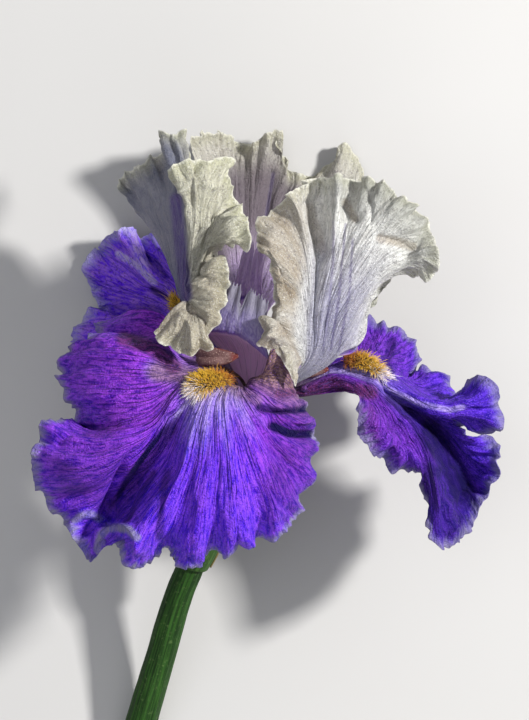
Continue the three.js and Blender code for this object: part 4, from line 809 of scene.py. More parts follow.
def fall_finish(name, deep, bright, rosy_deep, rosy_bright, rim):
    """Velvety violet: redder towards the haft and the sides, nearly white round the beard, tan on the claw
    and rusty where it rolls, with dark veins, a silvery margin and a paler under face. Over it lie painted
    light and shade: lit copies of its colours on the crepe's folds and shaded ones between them, painted
    glints, painted shade in hollows and along the dark strokes in creases and shadows, and painted
    highlights along the pale strokes."""
    material, nodes, shader = new_material(
        name,
        Roughness=0.55,
        Sheen_Weight=0.05,
        Sheen_Roughness=0.35,
        Sheen_Tint=colour("#b9a4ff"),
        Specular_IOR_Level=0.15,
    )
    crepe = nodes.group(CREPE, Fold=0.75, Grain=1500.0, Grit=0.45)
    veins = nodes.group(VEINS, Apart=8.0, Width=0.3, Closest=1.5, Sway=3.0)["Mask"]
    band = nodes.group(MARGIN, Width=5.0, Ragged=10.0)["Mask"]
    haft = nodes.attribute("haft")
    # lit is lighter on the crepe's folds and darker between them: the colours below come as a shaded and a
    # lit copy by it, as painted light and shade
    lit = nodes.smooth(crepe["Folds"], 0.34, 0.64)
    skin = nodes.mix(lit, deep, bright)
    skin = nodes.mix(nodes.attribute("blush"), skin, nodes.mix(lit, rosy_deep, rosy_bright))
    # pale is the pale zone round the beard and, where the pale strokes lie, painted highlights
    skin = nodes.mix(nodes.times(nodes.attribute("pale"), nodes.plus(0.45, lit), clamp=True), skin, "#cdbcf6")
    skin = nodes.mix(haft, skin, nodes.mix(lit, "#5f4540", "#a08272"))
    skin = nodes.mix(nodes.attribute("rust"), skin, nodes.mix(lit, "#2a0c2c", "#74306a"))
    # Painted glints, then painted shade in hollows
    skin = nodes.mix(nodes.times(crepe["Cells"], 0.34), skin, "#a878ff")
    skin = nodes.mix(nodes.times(crepe["Hollows"], 0.45), skin, "#1d0468")
    skin = nodes.mix(nodes.times(veins, 0.92), skin, "#1e065e")
    # The dark strokes paint shade in creases and cast shadows
    skin = nodes.mix(nodes.attribute("dark"), skin, "#0b0144")
    silver = nodes.most(band, nodes.attribute("silver"))
    skin = nodes.mix(nodes.times(silver, nodes.plus(0.55, nodes.times(lit, 0.45))), skin, rim)
    under = nodes.less(1.0, nodes.most(nodes.attribute("face"), haft))
    skin = nodes.mix(nodes.times(under, 0.35), skin, "#6a5cb0")
    dress(nodes, shader, skin, nodes.less(crepe["Height"], nodes.times(veins, 0.35)), 0.0017)
    return material


def standard_finish(name, dim, light, claw, shade):
    """Silvery cream with fine grey-blue veins, lilac towards the claw and yellow-green along the margin. Over
    it
    lie painted light and shade: dim in the crepe's folds and light between them, painted glints, painted
    shade in hollows, tan as painted warm shade, painted shade where the shade mask says, and a painted
    highlight of light through its thin edge."""
    material, nodes, shader = new_material(
        name,
        Roughness=0.5,
        Sheen_Weight=0.12,
        Sheen_Roughness=0.4,
        Specular_IOR_Level=0.35,
        Subsurface_Weight=0.25,
        Subsurface_Radius=(1.0, 0.9, 0.85),
        Subsurface_Scale=0.003,
    )
    crepe = nodes.group(CREPE, Fold=0.8, Grain=1500.0, Grit=0.4)
    veins = nodes.group(VEINS, Apart=8.0, Width=0.24, Closest=1.8, Sway=3.2)["Mask"]
    band = nodes.group(MARGIN, Width=7.0, Ragged=8.0)["Mask"]
    edge = nodes.group(MARGIN, Width=1.1, Ragged=3.0)["Mask"]
    lavender = nodes.attribute("lavender")
    # Dim in the crepe's folds and light between them, as painted shade and light
    skin = nodes.mix(nodes.smooth(crepe["Folds"], 0.3, 0.7), dim, light)
    skin = nodes.mix(nodes.times(band, 0.6), skin, "#a9aa86")
    # tan is painted warm shade
    skin = nodes.mix(nodes.attribute("tan"), skin, "#998b77")
    skin = nodes.mix(nodes.times(lavender, 0.75), skin, claw)
    skin = nodes.mix(nodes.times(veins, nodes.plus(0.3, nodes.times(lavender, 0.45))), skin, "#575078")
    # Painted glints, then painted shade in hollows
    skin = nodes.mix(nodes.times(crepe["Cells"], 0.4), skin, "#ffffff")
    skin = nodes.mix(nodes.times(crepe["Hollows"], 0.5), skin, "#6a676c")
    # The shade mask paints shade
    skin = nodes.mix(nodes.attribute("shade"), skin, shade)
    skin = nodes.mix(nodes.attribute("stripe"), skin, "#42337a")
    # A painted highlight of light shining through the thin edge
    skin = nodes.mix(nodes.times(edge, 0.6), skin, "#f2f1e4")
    dress(nodes, shader, skin, nodes.plus(crepe["Height"], nodes.times(veins, 0.3)), 0.0014)
    return material


def beard_finish(name):
    """Golden hairs: rusty at the root, yellow at the tip, and white where the beard runs out on the blade."""
    material, nodes, shader = new_material(name, Roughness=0.6, Sheen_Weight=0.2, Specular_IOR_Level=0.3)
    skin = nodes.mix(nodes.smooth(nodes.attribute("tip"), 0.1, 0.95), "#3c2008", "#e8bc38")
    skin = nodes.mix(nodes.attribute("inner"), skin, "#9a4b1c")
    skin = nodes.mix(nodes.attribute("white"), skin, "#e9e4f6")
    speckle = nodes.noise(nodes.place(), 900.0)
    skin = nodes.mix(nodes.smooth(speckle, 0.35, 0.8), skin, "#fbd873", "SOFT_LIGHT")
    dress(nodes, shader, skin, nodes.noise(nodes.place(), 2500.0), 0.0001)
    return material


def style_finish(name, dim, light, crest):
    """Greyed lilac with a purple lip, a pink underside, pale teeth on the crest and fine veins. It is dim in
    the crepe's folds and light between them as painted shade and light, and its underside is lightened as
    painted light bounced under the arm.
    """
    material, nodes, shader = new_material(
        name,
        Roughness=0.45,
        Sheen_Weight=0.15,
        Specular_IOR_Level=0.4,
        Subsurface_Weight=0.25,
        Subsurface_Radius=(1.0, 0.9, 0.85),
        Subsurface_Scale=0.002,
    )
    crepe = nodes.group(CREPE, Fold=1.1, Grain=1600.0)
    veins = nodes.group(VEINS, Apart=3.0, Width=0.18, Closest=0.9, Sway=1.5)["Mask"]
    # Dim in the crepe's folds and light between them, as painted shade and light
    skin = nodes.mix(nodes.smooth(crepe["Folds"], 0.3, 0.7), dim, light)
    skin = nodes.mix(nodes.attribute("crest"), skin, crest)
    skin = nodes.mix(nodes.attribute("lip"), skin, "#5f30a0")
    # The pink underside, lightened as painted light bounced under the arm
    skin = nodes.mix(nodes.times(nodes.attribute("below"), 0.9), skin, "#f0bcf4")
    skin = nodes.mix(nodes.times(veins, 0.5), skin, "#5b4784")
    dress(nodes, shader, skin, crepe["Height"], 0.0004)
    return material


def stamen_finish(name):
    """A pinkish tan anther with a rusty edge on a filament of the same tan, dusted with pollen."""
    material, nodes, shader = new_material(name, Roughness=0.7, Specular_IOR_Level=0.25)
    dust = nodes.noise(nodes.place(), 2200.0, 2.0)
    patches = nodes.noise(nodes.place(), 320.0, 3.0)
    skin = nodes.mix(nodes.smooth(patches, 0.3, 0.7), "#5e4042", "#7f6060")
    skin = nodes.mix(nodes.attribute("edge"), skin, "#6a1f1c")
    skin = nodes.mix(nodes.smooth(dust, 0.55, 0.75), skin, "#b79c92")
    dress(nodes, shader, skin, dust, 0.0003)
    return material


def green_finish(name, dark, light, dry):
    """Smooth plant green with paler lengthwise streaks, fine flecks and a drier tint where the mask dry
    says."""
    material, nodes, shader = new_material(
        name, Roughness=0.62, Specular_IOR_Level=0.25, Subsurface_Weight=0.06, Subsurface_Scale=0.002
    )
    drawn = nodes.times(nodes.attribute("along"), 0.5)
    round_it = nodes.vector(nodes.attribute("ring_x"), nodes.attribute("ring_y"), drawn)
    streaks = nodes.noise(round_it, 1.6, 5.0, 0.65)
    flecks = nodes.noise(nodes.place(), 700.0, 3.0, 0.7)
    skin = nodes.mix(nodes.smooth(streaks, 0.35, 0.72), dark, light)
    skin = nodes.mix(nodes.times(nodes.smooth(flecks, 0.55, 0.8), 0.35), skin, "#86a364")
    skin = nodes.mix(nodes.attribute("dry"), skin, dry)
    dress(nodes, shader, skin, nodes.plus(nodes.times(streaks, 0.7), nodes.times(flecks, 0.3)), 0.0004)
    return material


# ---- Petals ----

MARGIN_POINTS = 900  # where the length of a margin is measured
MARGIN_AT = 0.92  # share of the petal's length at which it is
BY_LENGTH = 0.75  # how much columns are spaced by it, and the rest by u
ROWS_DRAWN = 1.2  # power by which rows draw together towards the margin
CRIMP = 0.28  # height of the small waves along a petal's margin, over their spacing
CRIMP_MOST = 1.1
CRIMP_FROM = 0.6  # share of a petal's length at which they begin
CRIMP_LEAST = 0.4  # the least share of its height that a crimp has, and how much more chance may add
CRIMP_CHANCE = 1.1
BLADE_FROM = (0.12, 0.5)  # shares of its length over which the blade's creases come up
RUFFLE_WIDTH = 13.0  # from the margin
CURL_WIDTH = 3.5
FOLD_TURN = 4  # folds have their whole height where the surface rises less steeply than this
WRINKLE_MEAN = 0.45
THINNER_FROM = 0.4  # share of its length from which a petal grows thinner
VEIN_SPREAD = (0.02, 2.0)  # least and most
SLOPE_STEP = 0.01  # shares of a length and of a width over which directions are taken
ACROSS_STEP = 0.004
# Layers of noise over a petal: height, period across it, and period along it where it changes that way too
FINE_NOTCH = (0.7, 1.4, None)
WIDE_NOTCH = (1.7, 4.5, None)
BUCKLE = (0.5, 6.5, 34)
FLUTE = (0.22, 2.3, 15)
RUFFLE = (1.0, 5.0, 22)
FRILL = (0.5, 1.9, 4)
CURL = (1.7, 12, None)
CURL_RIPPLE = (0.4, 1.6, None)
# Layers of wrinkles: height on the blade and at the margin, period across the petal and along it
WIDE_WRINKLE = (0.35, 0.85, 7.5, 19)
FINE_WRINKLE = (0.18, 0.6, 2.9, 6.5)


def petal_surface(name):
    """A function of u, across the petal, and v, from its claw to its margin, given as arrays of one shape.

    Each rib starts on the ring where the claw leaves the tube, at an azimuth that goes evenly across the
    claw. The surface is the smooth curve along each rib at v, and then the smooth curve across the ribs at
    u.
    """
    ribs, azimuth, ring = PETALS[name][:3]
    ribs = np.asarray(ribs, float)
    rising = np.cross(AXIS, outward(azimuth))
    hand = 1 if (ribs[0, 0] - ribs[-1, 0]) @ rising > 0 else -1
    angles = azimuth + ring["spread"] * hand * np.linspace(1, -1, len(ribs))
    feet = outward(angles) * ring["radius"] + AXIS * ring["rise"]
    net = np.concatenate([feet[:, None], ribs], axis=1)

    def surface(u, v):
        across = curve_weights(net.shape[0], u)
        along = curve_weights(net.shape[1], v)
        return np.einsum("...r,...s,rsk->...k", across, along, net, optimize=True)

    return surface


def crimps(surface, rib_count, u, seed):
    """Height of the small waves at u: up and down in turn, each by its own random share of their spacing,
    with the smooth curve between them."""
    places = np.linspace(0, 1, 2 * rib_count - 1)
    margin = surface(places, np.ones_like(places))
    spacing = np.linalg.norm(np.diff(margin, axis=0), axis=1)
    spacing = np.concatenate([spacing[:1], spacing])
    shares = np.array([share for share, _ in zip(random_from(seed), places)])
    turns = np.where(np.arange(len(places)) % 2 == 1, 1, -1)
    heights = np.minimum(CRIMP * spacing, CRIMP_MOST) * (CRIMP_LEAST + CRIMP_CHANCE * shares) * turns
    return curve_weights(len(places), u) @ heights


def petal_noise(layer, across, down, seed):
    """One layer of noise over a petal, from the millimetres across and down it."""
    height, period, run = layer
    return height * noise(across / period, down / run if run else 0.5, seed)


def petal_wrinkles(layer, across, down, crumpled, near, seed):
    """One layer of wrinkles: as high as it says on the blade times crumpled and at the margin times near."""
    on_blade, at_margin, period, run = layer
    sharp = wrinkles(across / period, down / run, seed) - WRINKLE_MEAN
    return (on_blade * crumpled + at_margin * near) * sharp


def petal_grid(name):
    """A petal's middle surface: its points by column and row, masks, u and v. The masks give the
    millimetres across it along its margin, the share along it, the spread of its veins and the millimetres
    to its margin.

    Columns are spaced mostly by the length of the margin, and rows draw together towards it. The margin is
    drawn in by up to 3 mm, by the fine notches' noise plus one and the wide ones' where it is positive. The
    surface then moves along its normals by the sum of crimps, buckles and flutes of the blade, ruffles and
    a frill within RUFFLE_WIDTH of the margin, a curl within CURL_WIDTH of it, wrinkles and folds. What
    would reach below the floor lies flat on it.
    """
    ribs, azimuth, _, ruffle, crumpled, columns, rows = PETALS[name]
    surface = petal_surface(name)
    seed = azimuth + 100
    dense = np.linspace(0, 1, MARGIN_POINTS)
    edge = surface(dense, np.full_like(dense, MARGIN_AT))
    run = np.concatenate([[0], np.cumsum(np.linalg.norm(np.diff(edge, axis=0), axis=1))])
    share = BY_LENGTH * run / run[-1] + (1 - BY_LENGTH) * dense
    u = np.interp(np.linspace(0, 1, columns), share, dense)
    across = np.interp(u, dense, run)[:, None]
    v = 1 - (1 - np.linspace(0, 1, rows)) ** ROWS_DRAWN
    u_grid, v_grid = np.meshgrid(u, v, indexing="ij")
    steps = np.linalg.norm(np.diff(surface(u_grid, v_grid), axis=1), axis=2)
    down = np.concatenate([np.zeros((columns, 1)), np.cumsum(steps, axis=1)], axis=1)
    length = down[:, -1:]
    notch = FINE_NOTCH[0] + petal_noise(FINE_NOTCH, across, down, seed + 1)
    notch = notch + np.maximum(0, petal_noise(WIDE_NOTCH, across, down, seed + 2))
    middle = surface(u_grid, v_grid * (1 - notch / length))
    normals = grid_normals(middle)

    blade = smoothstep(down / length, *BLADE_FROM)
    near = smoothstep(length - down, RUFFLE_WIDTH, 0)
    curl = smoothstep(length - down, CURL_WIDTH, 0)
    wave = crimps(surface, len(ribs), u, seed)[:, None] * smoothstep(v, CRIMP_FROM, 1)
    layers = (
        (BUCKLE, crumpled * blade),
        (FLUTE, blade),
        (RUFFLE, ruffle * near),
        (FRILL, near),
        (CURL, curl),
        (CURL_RIPPLE, curl),
    )
    for k, (layer, strength) in enumerate(layers):
        wave = wave + strength * petal_noise(layer, across, down, seed + 3 + k)
    wave = wave + ruffle * blade * petal_wrinkles(WIDE_WRINKLE, across, down, crumpled, near, seed + 9)
    wave = wave + blade * petal_wrinkles(FINE_WRINKLE, across, down, crumpled, near, seed + 11)
    up = np.clip(FOLD_TURN * normals[..., 2], -1, 1)
    wave = wave + up * folds_height(middle, FOLDS[name])
    middle = middle + normals * wave[..., None]
    middle[..., 2] = np.maximum(middle[..., 2], PETAL_THICK / 2 - THROAT[2])
    local = np.linalg.norm(np.gradient(middle, axis=0), axis=2)
    masks = {
        "across": across,
        "along": down / length,
        "spread": np.clip(local / np.gradient(across[:, 0])[:, None], *VEIN_SPREAD),
        "margin": length - down,
    }
    return middle, masks, u_grid, v_grid


def make_petal(name, middle, masks, material):
    """A petal's closed shell, thinner towards its margin."""
    thick = PETAL_THICK + (MARGIN_THICK - PETAL_THICK) * smoothstep(masks["along"], THINNER_FROM, 1)
    make_shell(name, middle, thick / 2, masks, material, mapped=True)


def painted(name, key, middle):
    """The mask of a petal's strokes of one kind."""
    return stroke_mask(middle, STROKES[name].get(key, ()))


def tinted(name, key, u):
    """How strong one of a petal's tints is at u across it."""
    return np.interp(u, *TINTS[name].get(key, NO_TINT))


def make_fall(name, material):
    """One fall. Its blush weakens towards the margin, pale and haft fade out along it, and the haft also
    covers its shoulder and its tan strokes. face is 1 on its upper face."""
    middle, masks, u, v = petal_grid(name)
    patchy = noise(masks["across"] / 9, masks["along"] * 5, PETALS[name][1] + 30)
    fade = v + 0.05 * patchy
    blush = tinted(name, "blush", u) * (1 - 0.5 * smoothstep(v, 0.6, 1)) + 0.15 * patchy
    pale = tinted(name, "pale", u) * (1 - smoothstep(fade, *TINTS[name]["pale_out"]))
    haft = 0.9 * (1 - smoothstep(fade, *TINTS[name]["haft_out"]))
    shoulder = np.maximum(tinted(name, "shoulder", u), painted(name, "tan", middle))
    # The dark strokes paint shade in creases and cast shadows
    masks["dark"] = painted(name, "dark", middle) * (0.85 + 0.3 * patchy)
    masks["silver"] = painted(name, "silver", middle)
    masks["rust"] = painted(name, "rust", middle)
    masks["blush"] = np.clip(blush, 0, 1)
    # pale: the pale zone round the beard, and painted highlights from the pale strokes
    masks["pale"] = np.clip(np.maximum(pale, painted(name, "pale", middle)), 0, 0.9)
    masks["haft"] = np.clip(np.maximum(haft, shoulder), 0, 1)
    masks["face"] = (1.0, 0.0)
    make_petal(name, middle, masks, material)


def make_standard(name, material):
    """One standard. Lavender fades out along it, tan, which is painted warm shade, comes in from the middle
    of its length and painted shade comes in and fades out. Strokes add more painted tan shade and dark
    stripes."""
    middle, masks, u, v = petal_grid(name)
    patchy = noise(masks["across"] / 11, masks["along"] * 5, PETALS[name][1] + 30)
    lavender = tinted(name, "lavender", u) * (1 - smoothstep(v + 0.06 * patchy, *TINTS[name]["lavender_out"]))
    tan = tinted(name, "tan", u) * smoothstep(v, 0.42, 0.6) * (0.8 + 0.4 * patchy)
    shade = tinted(name, "shade", u) * (1 - smoothstep(v, *TINTS[name]["shade_out"]))
    masks["lavender"] = np.clip(lavender, 0, 1)
    masks["tan"] = np.clip(np.maximum(tan, painted(name, "tan", middle)), 0, 1)
    masks["stripe"] = painted(name, "stripe", middle)
    masks["shade"] = shade * smoothstep(v, *TINTS[name]["shade_in"])
    make_petal(name, middle, masks, material)


# ---- Beards ----

BEARD_GAP = 0.75  # from the middle of the fall's thickness to the beard's underside
BEARD_HEIGHT = 1.5
CORE_SHARE = 0.85  # the core's size over the beard's, so that the hairs stand out of it
CORE_STEPS = 26
CORE_SIDES = 18
SWELL_FROM = 0.08  # the core swells as the root of a sine does over this part of its half turn
SWELL_RUN = 0.84
HAIR_LENGTH = 2.7
HAIR_RADIUS = 0.12
HAIR_TIP = 0.02  # what is left of the radius near the tip
HAIR_ROOTED = 0.12  # share of its length by which a hair starts inside the core
HAIR_ROOT_TINT = 0.1  # the core's share of the tint from root to tip
HAIR_RINGS = (0.0, 0.45, 0.8)  # shares of a hair's length where it has a ring of four points
BEARDS = {
    "front": {"u": 0.444, "from": 0.2, "to": 0.345, "half": 4.4, "white": 0.74, "hairs": 2100},
    "right": {"u": 0.69, "from": 0.31, "to": 0.47, "half": 2.5, "white": 0.72, "hairs": 1000},
    "back": {"u": 0.38, "from": 0.3, "to": 0.5, "half": 2.6, "white": 2, "hairs": 600},
}  # u on the fall, shares of the fall's length, half width, share of the beard where white begins, hairs


def on_beard(place, t, angle):
    """The core's skin at t along a beard and an angle round it, with the ways up, to the side and along
    there.

    The skin is at half * swell * cos(a) to the side, and height * swell * (1 + sin(a)) / 2 above the gap
    over the fall, both drawn in to the core, with swell the square root of a sine along the beard.
    """
    spot = BEARDS[place]
    surface = petal_surface(f"fall_{place}")
    v = spot["from"] + (spot["to"] - spot["from"]) * t
    u = np.full_like(v, spot["u"])
    along = unit(surface(u, v + SLOPE_STEP) - surface(u, v - SLOPE_STEP))
    across = surface(u + ACROSS_STEP, v) - surface(u - ACROSS_STEP, v)
    normal = unit(np.cross(along, across))
    side = np.cross(along, normal)
    swell = CORE_SHARE * np.sqrt(np.sin(np.pi * (SWELL_FROM + SWELL_RUN * t)))
    sideways = spot["half"] * swell * np.cos(angle)
    height = BEARD_GAP + BEARD_HEIGHT * swell * (0.5 + 0.5 * np.sin(angle))
    return surface(u, v) + side * sideways[..., None] + normal * height[..., None], normal, side, along


def hair_faces():
    """The corners of one hair: a quad for each of its four sides between two rings, four triangles to its
    tip and a quad that closes its root."""
    last = 4 * len(HAIR_RINGS)
    pairs = [(0, 1), (1, 2), (2, 3), (3, 0)]
    quads = [[r + k, r + n, r + 4 + n, r + 4 + k] for r in range(0, last - 4, 4) for k, n in pairs]
    tips = [[last - 4 + k, last - 4 + n, last] for k, n in pairs]
    return [*quads, *tips, [3, 2, 1, 0]]


def make_beard(place, material):
    """A beard: a low core along the upper face of the fall's claw and tapered hairs rooted in it.

    At s of its length a hair is s * length along its way and s^2 * length along its bend, both random about
    the core's outward way. At the outer end the hairs lie down and are white.
    """
    spot = BEARDS[place]
    hairs = spot["hairs"]
    angles = np.linspace(0, 2 * np.pi, CORE_SIDES, endpoint=False)
    core = on_beard(place, *np.meshgrid(np.linspace(0, 1, CORE_STEPS), angles))[0]
    core_points = np.concatenate([core.reshape(-1, 3), core.mean(axis=0)[[0, -1]]])
    faces = [face[::-1] for face in capped_faces(CORE_SIDES, CORE_STEPS)]

    random = np.random.default_rng(500 + PETALS[f"fall_{place}"][1])
    t = random.uniform(0.0, 1.0, hairs)
    angle = np.radians(random.uniform(8, 172, hairs))
    root, normal, side, along = on_beard(place, t, angle)
    rise = np.sin(angle)[:, None]
    lying = smoothstep(t, 0.6, 1)[:, None]
    way = normal * rise * (1 - 0.5 * lying) + side * np.cos(angle)[:, None] * 0.8
    way = unit(way + along * (0.05 + 0.9 * lying) + random.normal(0, 0.3, (hairs, 3)))
    bend = along * 0.35 - normal * 0.2 + random.normal(0, 0.22, (hairs, 3))
    length = HAIR_LENGTH * random.uniform(0.5, 1.3, hairs)[:, None] * (0.8 + 0.2 * rise)
    first = unit(np.cross(way, random.normal(0, 1, (hairs, 3))))
    second = np.cross(way, first)
    rings = []
    for s in HAIR_RINGS:
        middle = root + way * (length * (s * (1 + HAIR_ROOTED) - HAIR_ROOTED)) + bend * length * s * s
        radius = HAIR_RADIUS * (1 - s) ** 0.55 + HAIR_TIP
        for a in np.arange(4) * np.pi / 2:
            rings.append(middle + radius * (first * np.cos(a) + second * np.sin(a)))
    rings.append(root + way * length + bend * length)
    hair_points = np.stack(rings, axis=1)
    pattern = hair_faces()
    starts = len(core_points) + np.arange(hairs) * len(rings)
    faces += [[start + k for k in face] for start in starts.tolist() for face in pattern]

    shares = np.array([s for s in HAIR_RINGS for _ in range(4)] + [1.0])
    rusty = 0.85 * (1 - smoothstep(t, 0.0, 0.5))
    white = smoothstep(t + random.normal(0, 0.08, hairs), spot["white"], spot["white"] + 0.2)
    plain = np.zeros(len(core_points))
    masks = {
        "tip": np.concatenate([plain + HAIR_ROOT_TINT, np.tile(shares, hairs)]),
        "inner": np.concatenate([plain, np.repeat(rusty, len(rings))]),
        "white": np.concatenate([plain, np.repeat(white, len(rings))]),
    }
    points = np.concatenate([core_points, hair_points.reshape(-1, 3)])
    make_piece(f"beard_{place}", points, faces, material, masks)


# ---- Style arms and stamens ----

ARM_PROFILE = [
    (2.4, 1.2, 1.6), (5.6, 9, 4.6), (11, 17, 8.4), (17.5, 22, 10.8), (24, 24, 11.8),
    (27.2, 26, 10.8), (27.4, 31, 8.4), (25.6, 36, 8), (23.5, 41, 7.4),
]  # out from the axis, up it and half width, from the foot over the lip to the tips of the crest
ARM_GRID = (110, 120)
ARM_LENGTH = 52
ARM_HALF = 11  # half the width over which its veins are drawn
ARM_DROOP = 0.026
ARM_HALF_THICK = 0.28
CREST_FROM = 0.62  # share of the arm's length
CREST_THINNER = 0.14
LIP_AT = 0.56
LIP_HALF = 0.05
NOTCH_HALF = 0.16  # of the cut that splits the crest, over the half width
STRAIGHT = [(3.7, 1.8, 0), (6.5, 6, 0), (9.5, 9.5, 0), (13, 12, 0), (17, 14, 0), (21, 15.5, 0)]
HOOKED = [
    (3.7, 1.8, 0), (8, 6, 0), (13, 9.5, -1), (18, 12, -3.5), (23.5, 14.3, -7.5), (27.6, 16, -11),
    (29.3, 17, -7), (28.8, 17.8, -2), (27.9, 18.8, 2),
]  # the paths of the stamens: out from the axis, up it and to the side


def make_style_arm(place, azimuth, reach, lift, slim, roll, material):
    """A style arm. At a across it, from -1 to 1, and v along it, it is out by the profile times reach, up
    by the profile times lift, and to the side by a times the half width times slim. Its edges fall by droop
    times the square of that, and it leans by roll times that. From the lip on, the crest is split in two by
    a notch, fluted by a sine of 15a, and toothed along its end by a sine of 27a and by noise."""
    out = outward(azimuth)
    side = np.cross(AXIS, out)
    u, v = np.meshgrid(*(np.linspace(0, 1, count) for count in ARM_GRID), indexing="ij")
    a = 2 * u - 1
    crest = np.maximum(0, (v - CREST_FROM) / (1 - CREST_FROM))
    notch = 0.4 * (1 - np.minimum(1, np.abs(a) / NOTCH_HALF)) + 0.08 * a * a
    teeth = 0.1 * np.abs(np.sin(a * 27 + 2 * noise(a * 3, 0.5, 41))) + 0.07 * np.abs(noise(a * 9, 0.5, 42))
    teeth = teeth * smoothstep(crest, 0.3, 1)
    p = through(ARM_PROFILE, v - crest * (notch + teeth) * (1 - CREST_FROM))
    width = a * p[..., 2] * slim
    droop = (1 - crest) * ARM_DROOP * width * width + roll * width
    middle = out * (p[..., 0] * reach)[..., None] + AXIS * (p[..., 1] * lift - droop)[..., None]
    middle = middle + side * width[..., None]
    ripple = 0.36 * np.sin(a * 15) * smoothstep(crest, 0.1, 0.9)
    ripple = ripple + 0.35 * np.exp(-((a / 0.12) ** 2)) * (1 - crest)
    ripple = ripple + 0.3 * noise(a * 4, v * 6, 43) + 0.12 * noise(a * 16, v * 9, 44)
    middle = middle + grid_normals(middle) * ripple[..., None]
    masks = {
        "across": a * ARM_HALF,
        "along": v,
        "spread": np.clip(p[..., 2] * slim / ARM_HALF, *VEIN_SPREAD),
        "margin": (1 - v) * ARM_LENGTH,
        "crest": smoothstep(crest, 0.15, 0.8),
        "lip": np.exp(-(((v - LIP_AT) / LIP_HALF) ** 2)),
        "below": (0.0, 1 - smoothstep(v, 0.5, 0.6)),
    }
    half = ARM_HALF_THICK - CREST_THINNER * crest
    make_shell(f"style_arm_{place}", middle, half, masks, material)


def make_stamen(place, azimuth, path, reach, rise, start, breadth, turn, material):
    """A filament 0.5 mm in radius that swells from its share start on into a flat anther, broad by a power
    of the sine of the angle and with a groove down its middle."""
    out = outward(azimuth)
    side = np.cross(AXIS, out)
    path = [out * (r * reach) + AXIS * (h * rise) + side * w for r, h, w in path]

    def flatness(angle):
        return np.sin(angle + np.radians(turn)) ** 2

    def radius(t, angle):
        anther = smoothstep(t, start, start + 0.12) * (1 - smoothstep(t, 0.93, 1.02))
        broad = flatness(angle)
        groove = 0.16 * anther * np.exp(-((broad / 0.03) ** 2))
        narrowed = (breadth - 0.8) * (1 - 0.75 * smoothstep(t, 0.78, 1))
        return 0.5 + anther * (0.3 + narrowed * broad**1.3) - groove + 0.06 * noise(t * 40, angle * 3, 51)

    points, faces, t, angle = loft(path, radius, sides=28, steps=110)
    edge = smoothstep(t, start + 0.05, start + 0.2) * smoothstep(flatness(angle), 0.82, 1) * 0.7
    tip = smoothstep(t, 0.9, 0.97) * 0.9
    make_piece(f"stamen_{place}", points, faces, material, {"edge": np.maximum(edge, tip)})


# ---- Tube, spathes and stem ----

TUBE_PATH = [(0, 0, 0), (-3, -12, -3.5), (-8, -26, -9), (-13.5, -39, -15), (-18, -50, -20.5)]
STEM_PATH = [
    (-18.4, -50.8, -20.9), (-23.2, -62.8, -27), (-27.8, -78.5, -33.3), (-32.4, -94, -39), (-36.6, -108, -44.2)
]
SPATHE_PATH = [
    (-18.5, -51, -21), (-15.7, -44, -17.5), (-12, -35, -13.3), (-7.5, -24.5, -8.5), (-4, -15, -4.7)
]
TUBE_RADIUS = 2.9
TUBE_RIM = 6.9
TUBE_LENGTH = 60
OVARY_RADIUS = 4.2
STEM_TOP = 4.4
STEM_END = 5.2
STEM_LENGTH = 62
SPATHE_LENGTH = 38
SPATHE_WRAP = 96  # degrees to each side at its foot
SPATHE_HALF_THICK = 0.24


def green_masks(t, angle, radius, length, dry):
    """What green_finish reads: the place round the piece, the centimetres along it and the dry tint."""
    return {
        "ring_x": np.cos(angle) * radius,
        "ring_y": np.sin(angle) * radius,
        "along": t * length / 10,
        "dry": dry,
    }


def make_stem(material):
    """The stem: its radius goes evenly from its top to its cut end and is slightly oval, with low ribs by
    sines of 9 and 17 times the angle and a rounded edge at both ends."""

    def radius(t, angle):
        ribs = 0.09 * np.sin(9 * angle + 2 * t) + 0.05 * np.sin(17 * angle + 1)
        oval = 1 + 0.03 * np.cos(2 * angle)
        cut = 1 - 0.12 * smoothstep(t, 0.992, 1.0) - 0.1 * smoothstep(t, 0.008, 0.0)
        return ((STEM_TOP + (STEM_END - STEM_TOP) * t) * oval + ribs + 0.12 * noise(t * 9, angle, 61)) * cut

    points, faces, t, angle = loft(STEM_PATH, radius, sides=64, steps=150)
    dry = 0.65 * smoothstep(t, 0.985, 1.0)
    make_piece("stem", points, faces, material, green_masks(t, angle, STEM_END, STEM_LENGTH, dry))


def make_tube(material):
    """The floral tube: it widens to its rim in the throat and swells below into the ovary, whose three
    corners are a cosine of three times the angle."""

    def radius(t, angle):
        throat = 1 - smoothstep(t, 0, 0.22)
        ovary = smoothstep(t, 0.45, 0.65) * (1 - 0.35 * smoothstep(t, 0.88, 1))
        corners = 1 + 0.08 * ovary * np.cos(3 * angle) + 0.025 * (1 - throat) * np.cos(6 * angle)
        wider = throat * (TUBE_RIM - TUBE_RADIUS) + ovary * (OVARY_RADIUS - TUBE_RADIUS)
        return (TUBE_RADIUS + wider) * corners

    points, faces, t, angle = loft(TUBE_PATH, radius, sides=60, steps=110)
    masks = green_masks(t, angle, OVARY_RADIUS, TUBE_LENGTH, 0.35 * (1 - smoothstep(t, 0.1, 0.4)))
    make_piece("floral_tube", points, faces, material, masks)


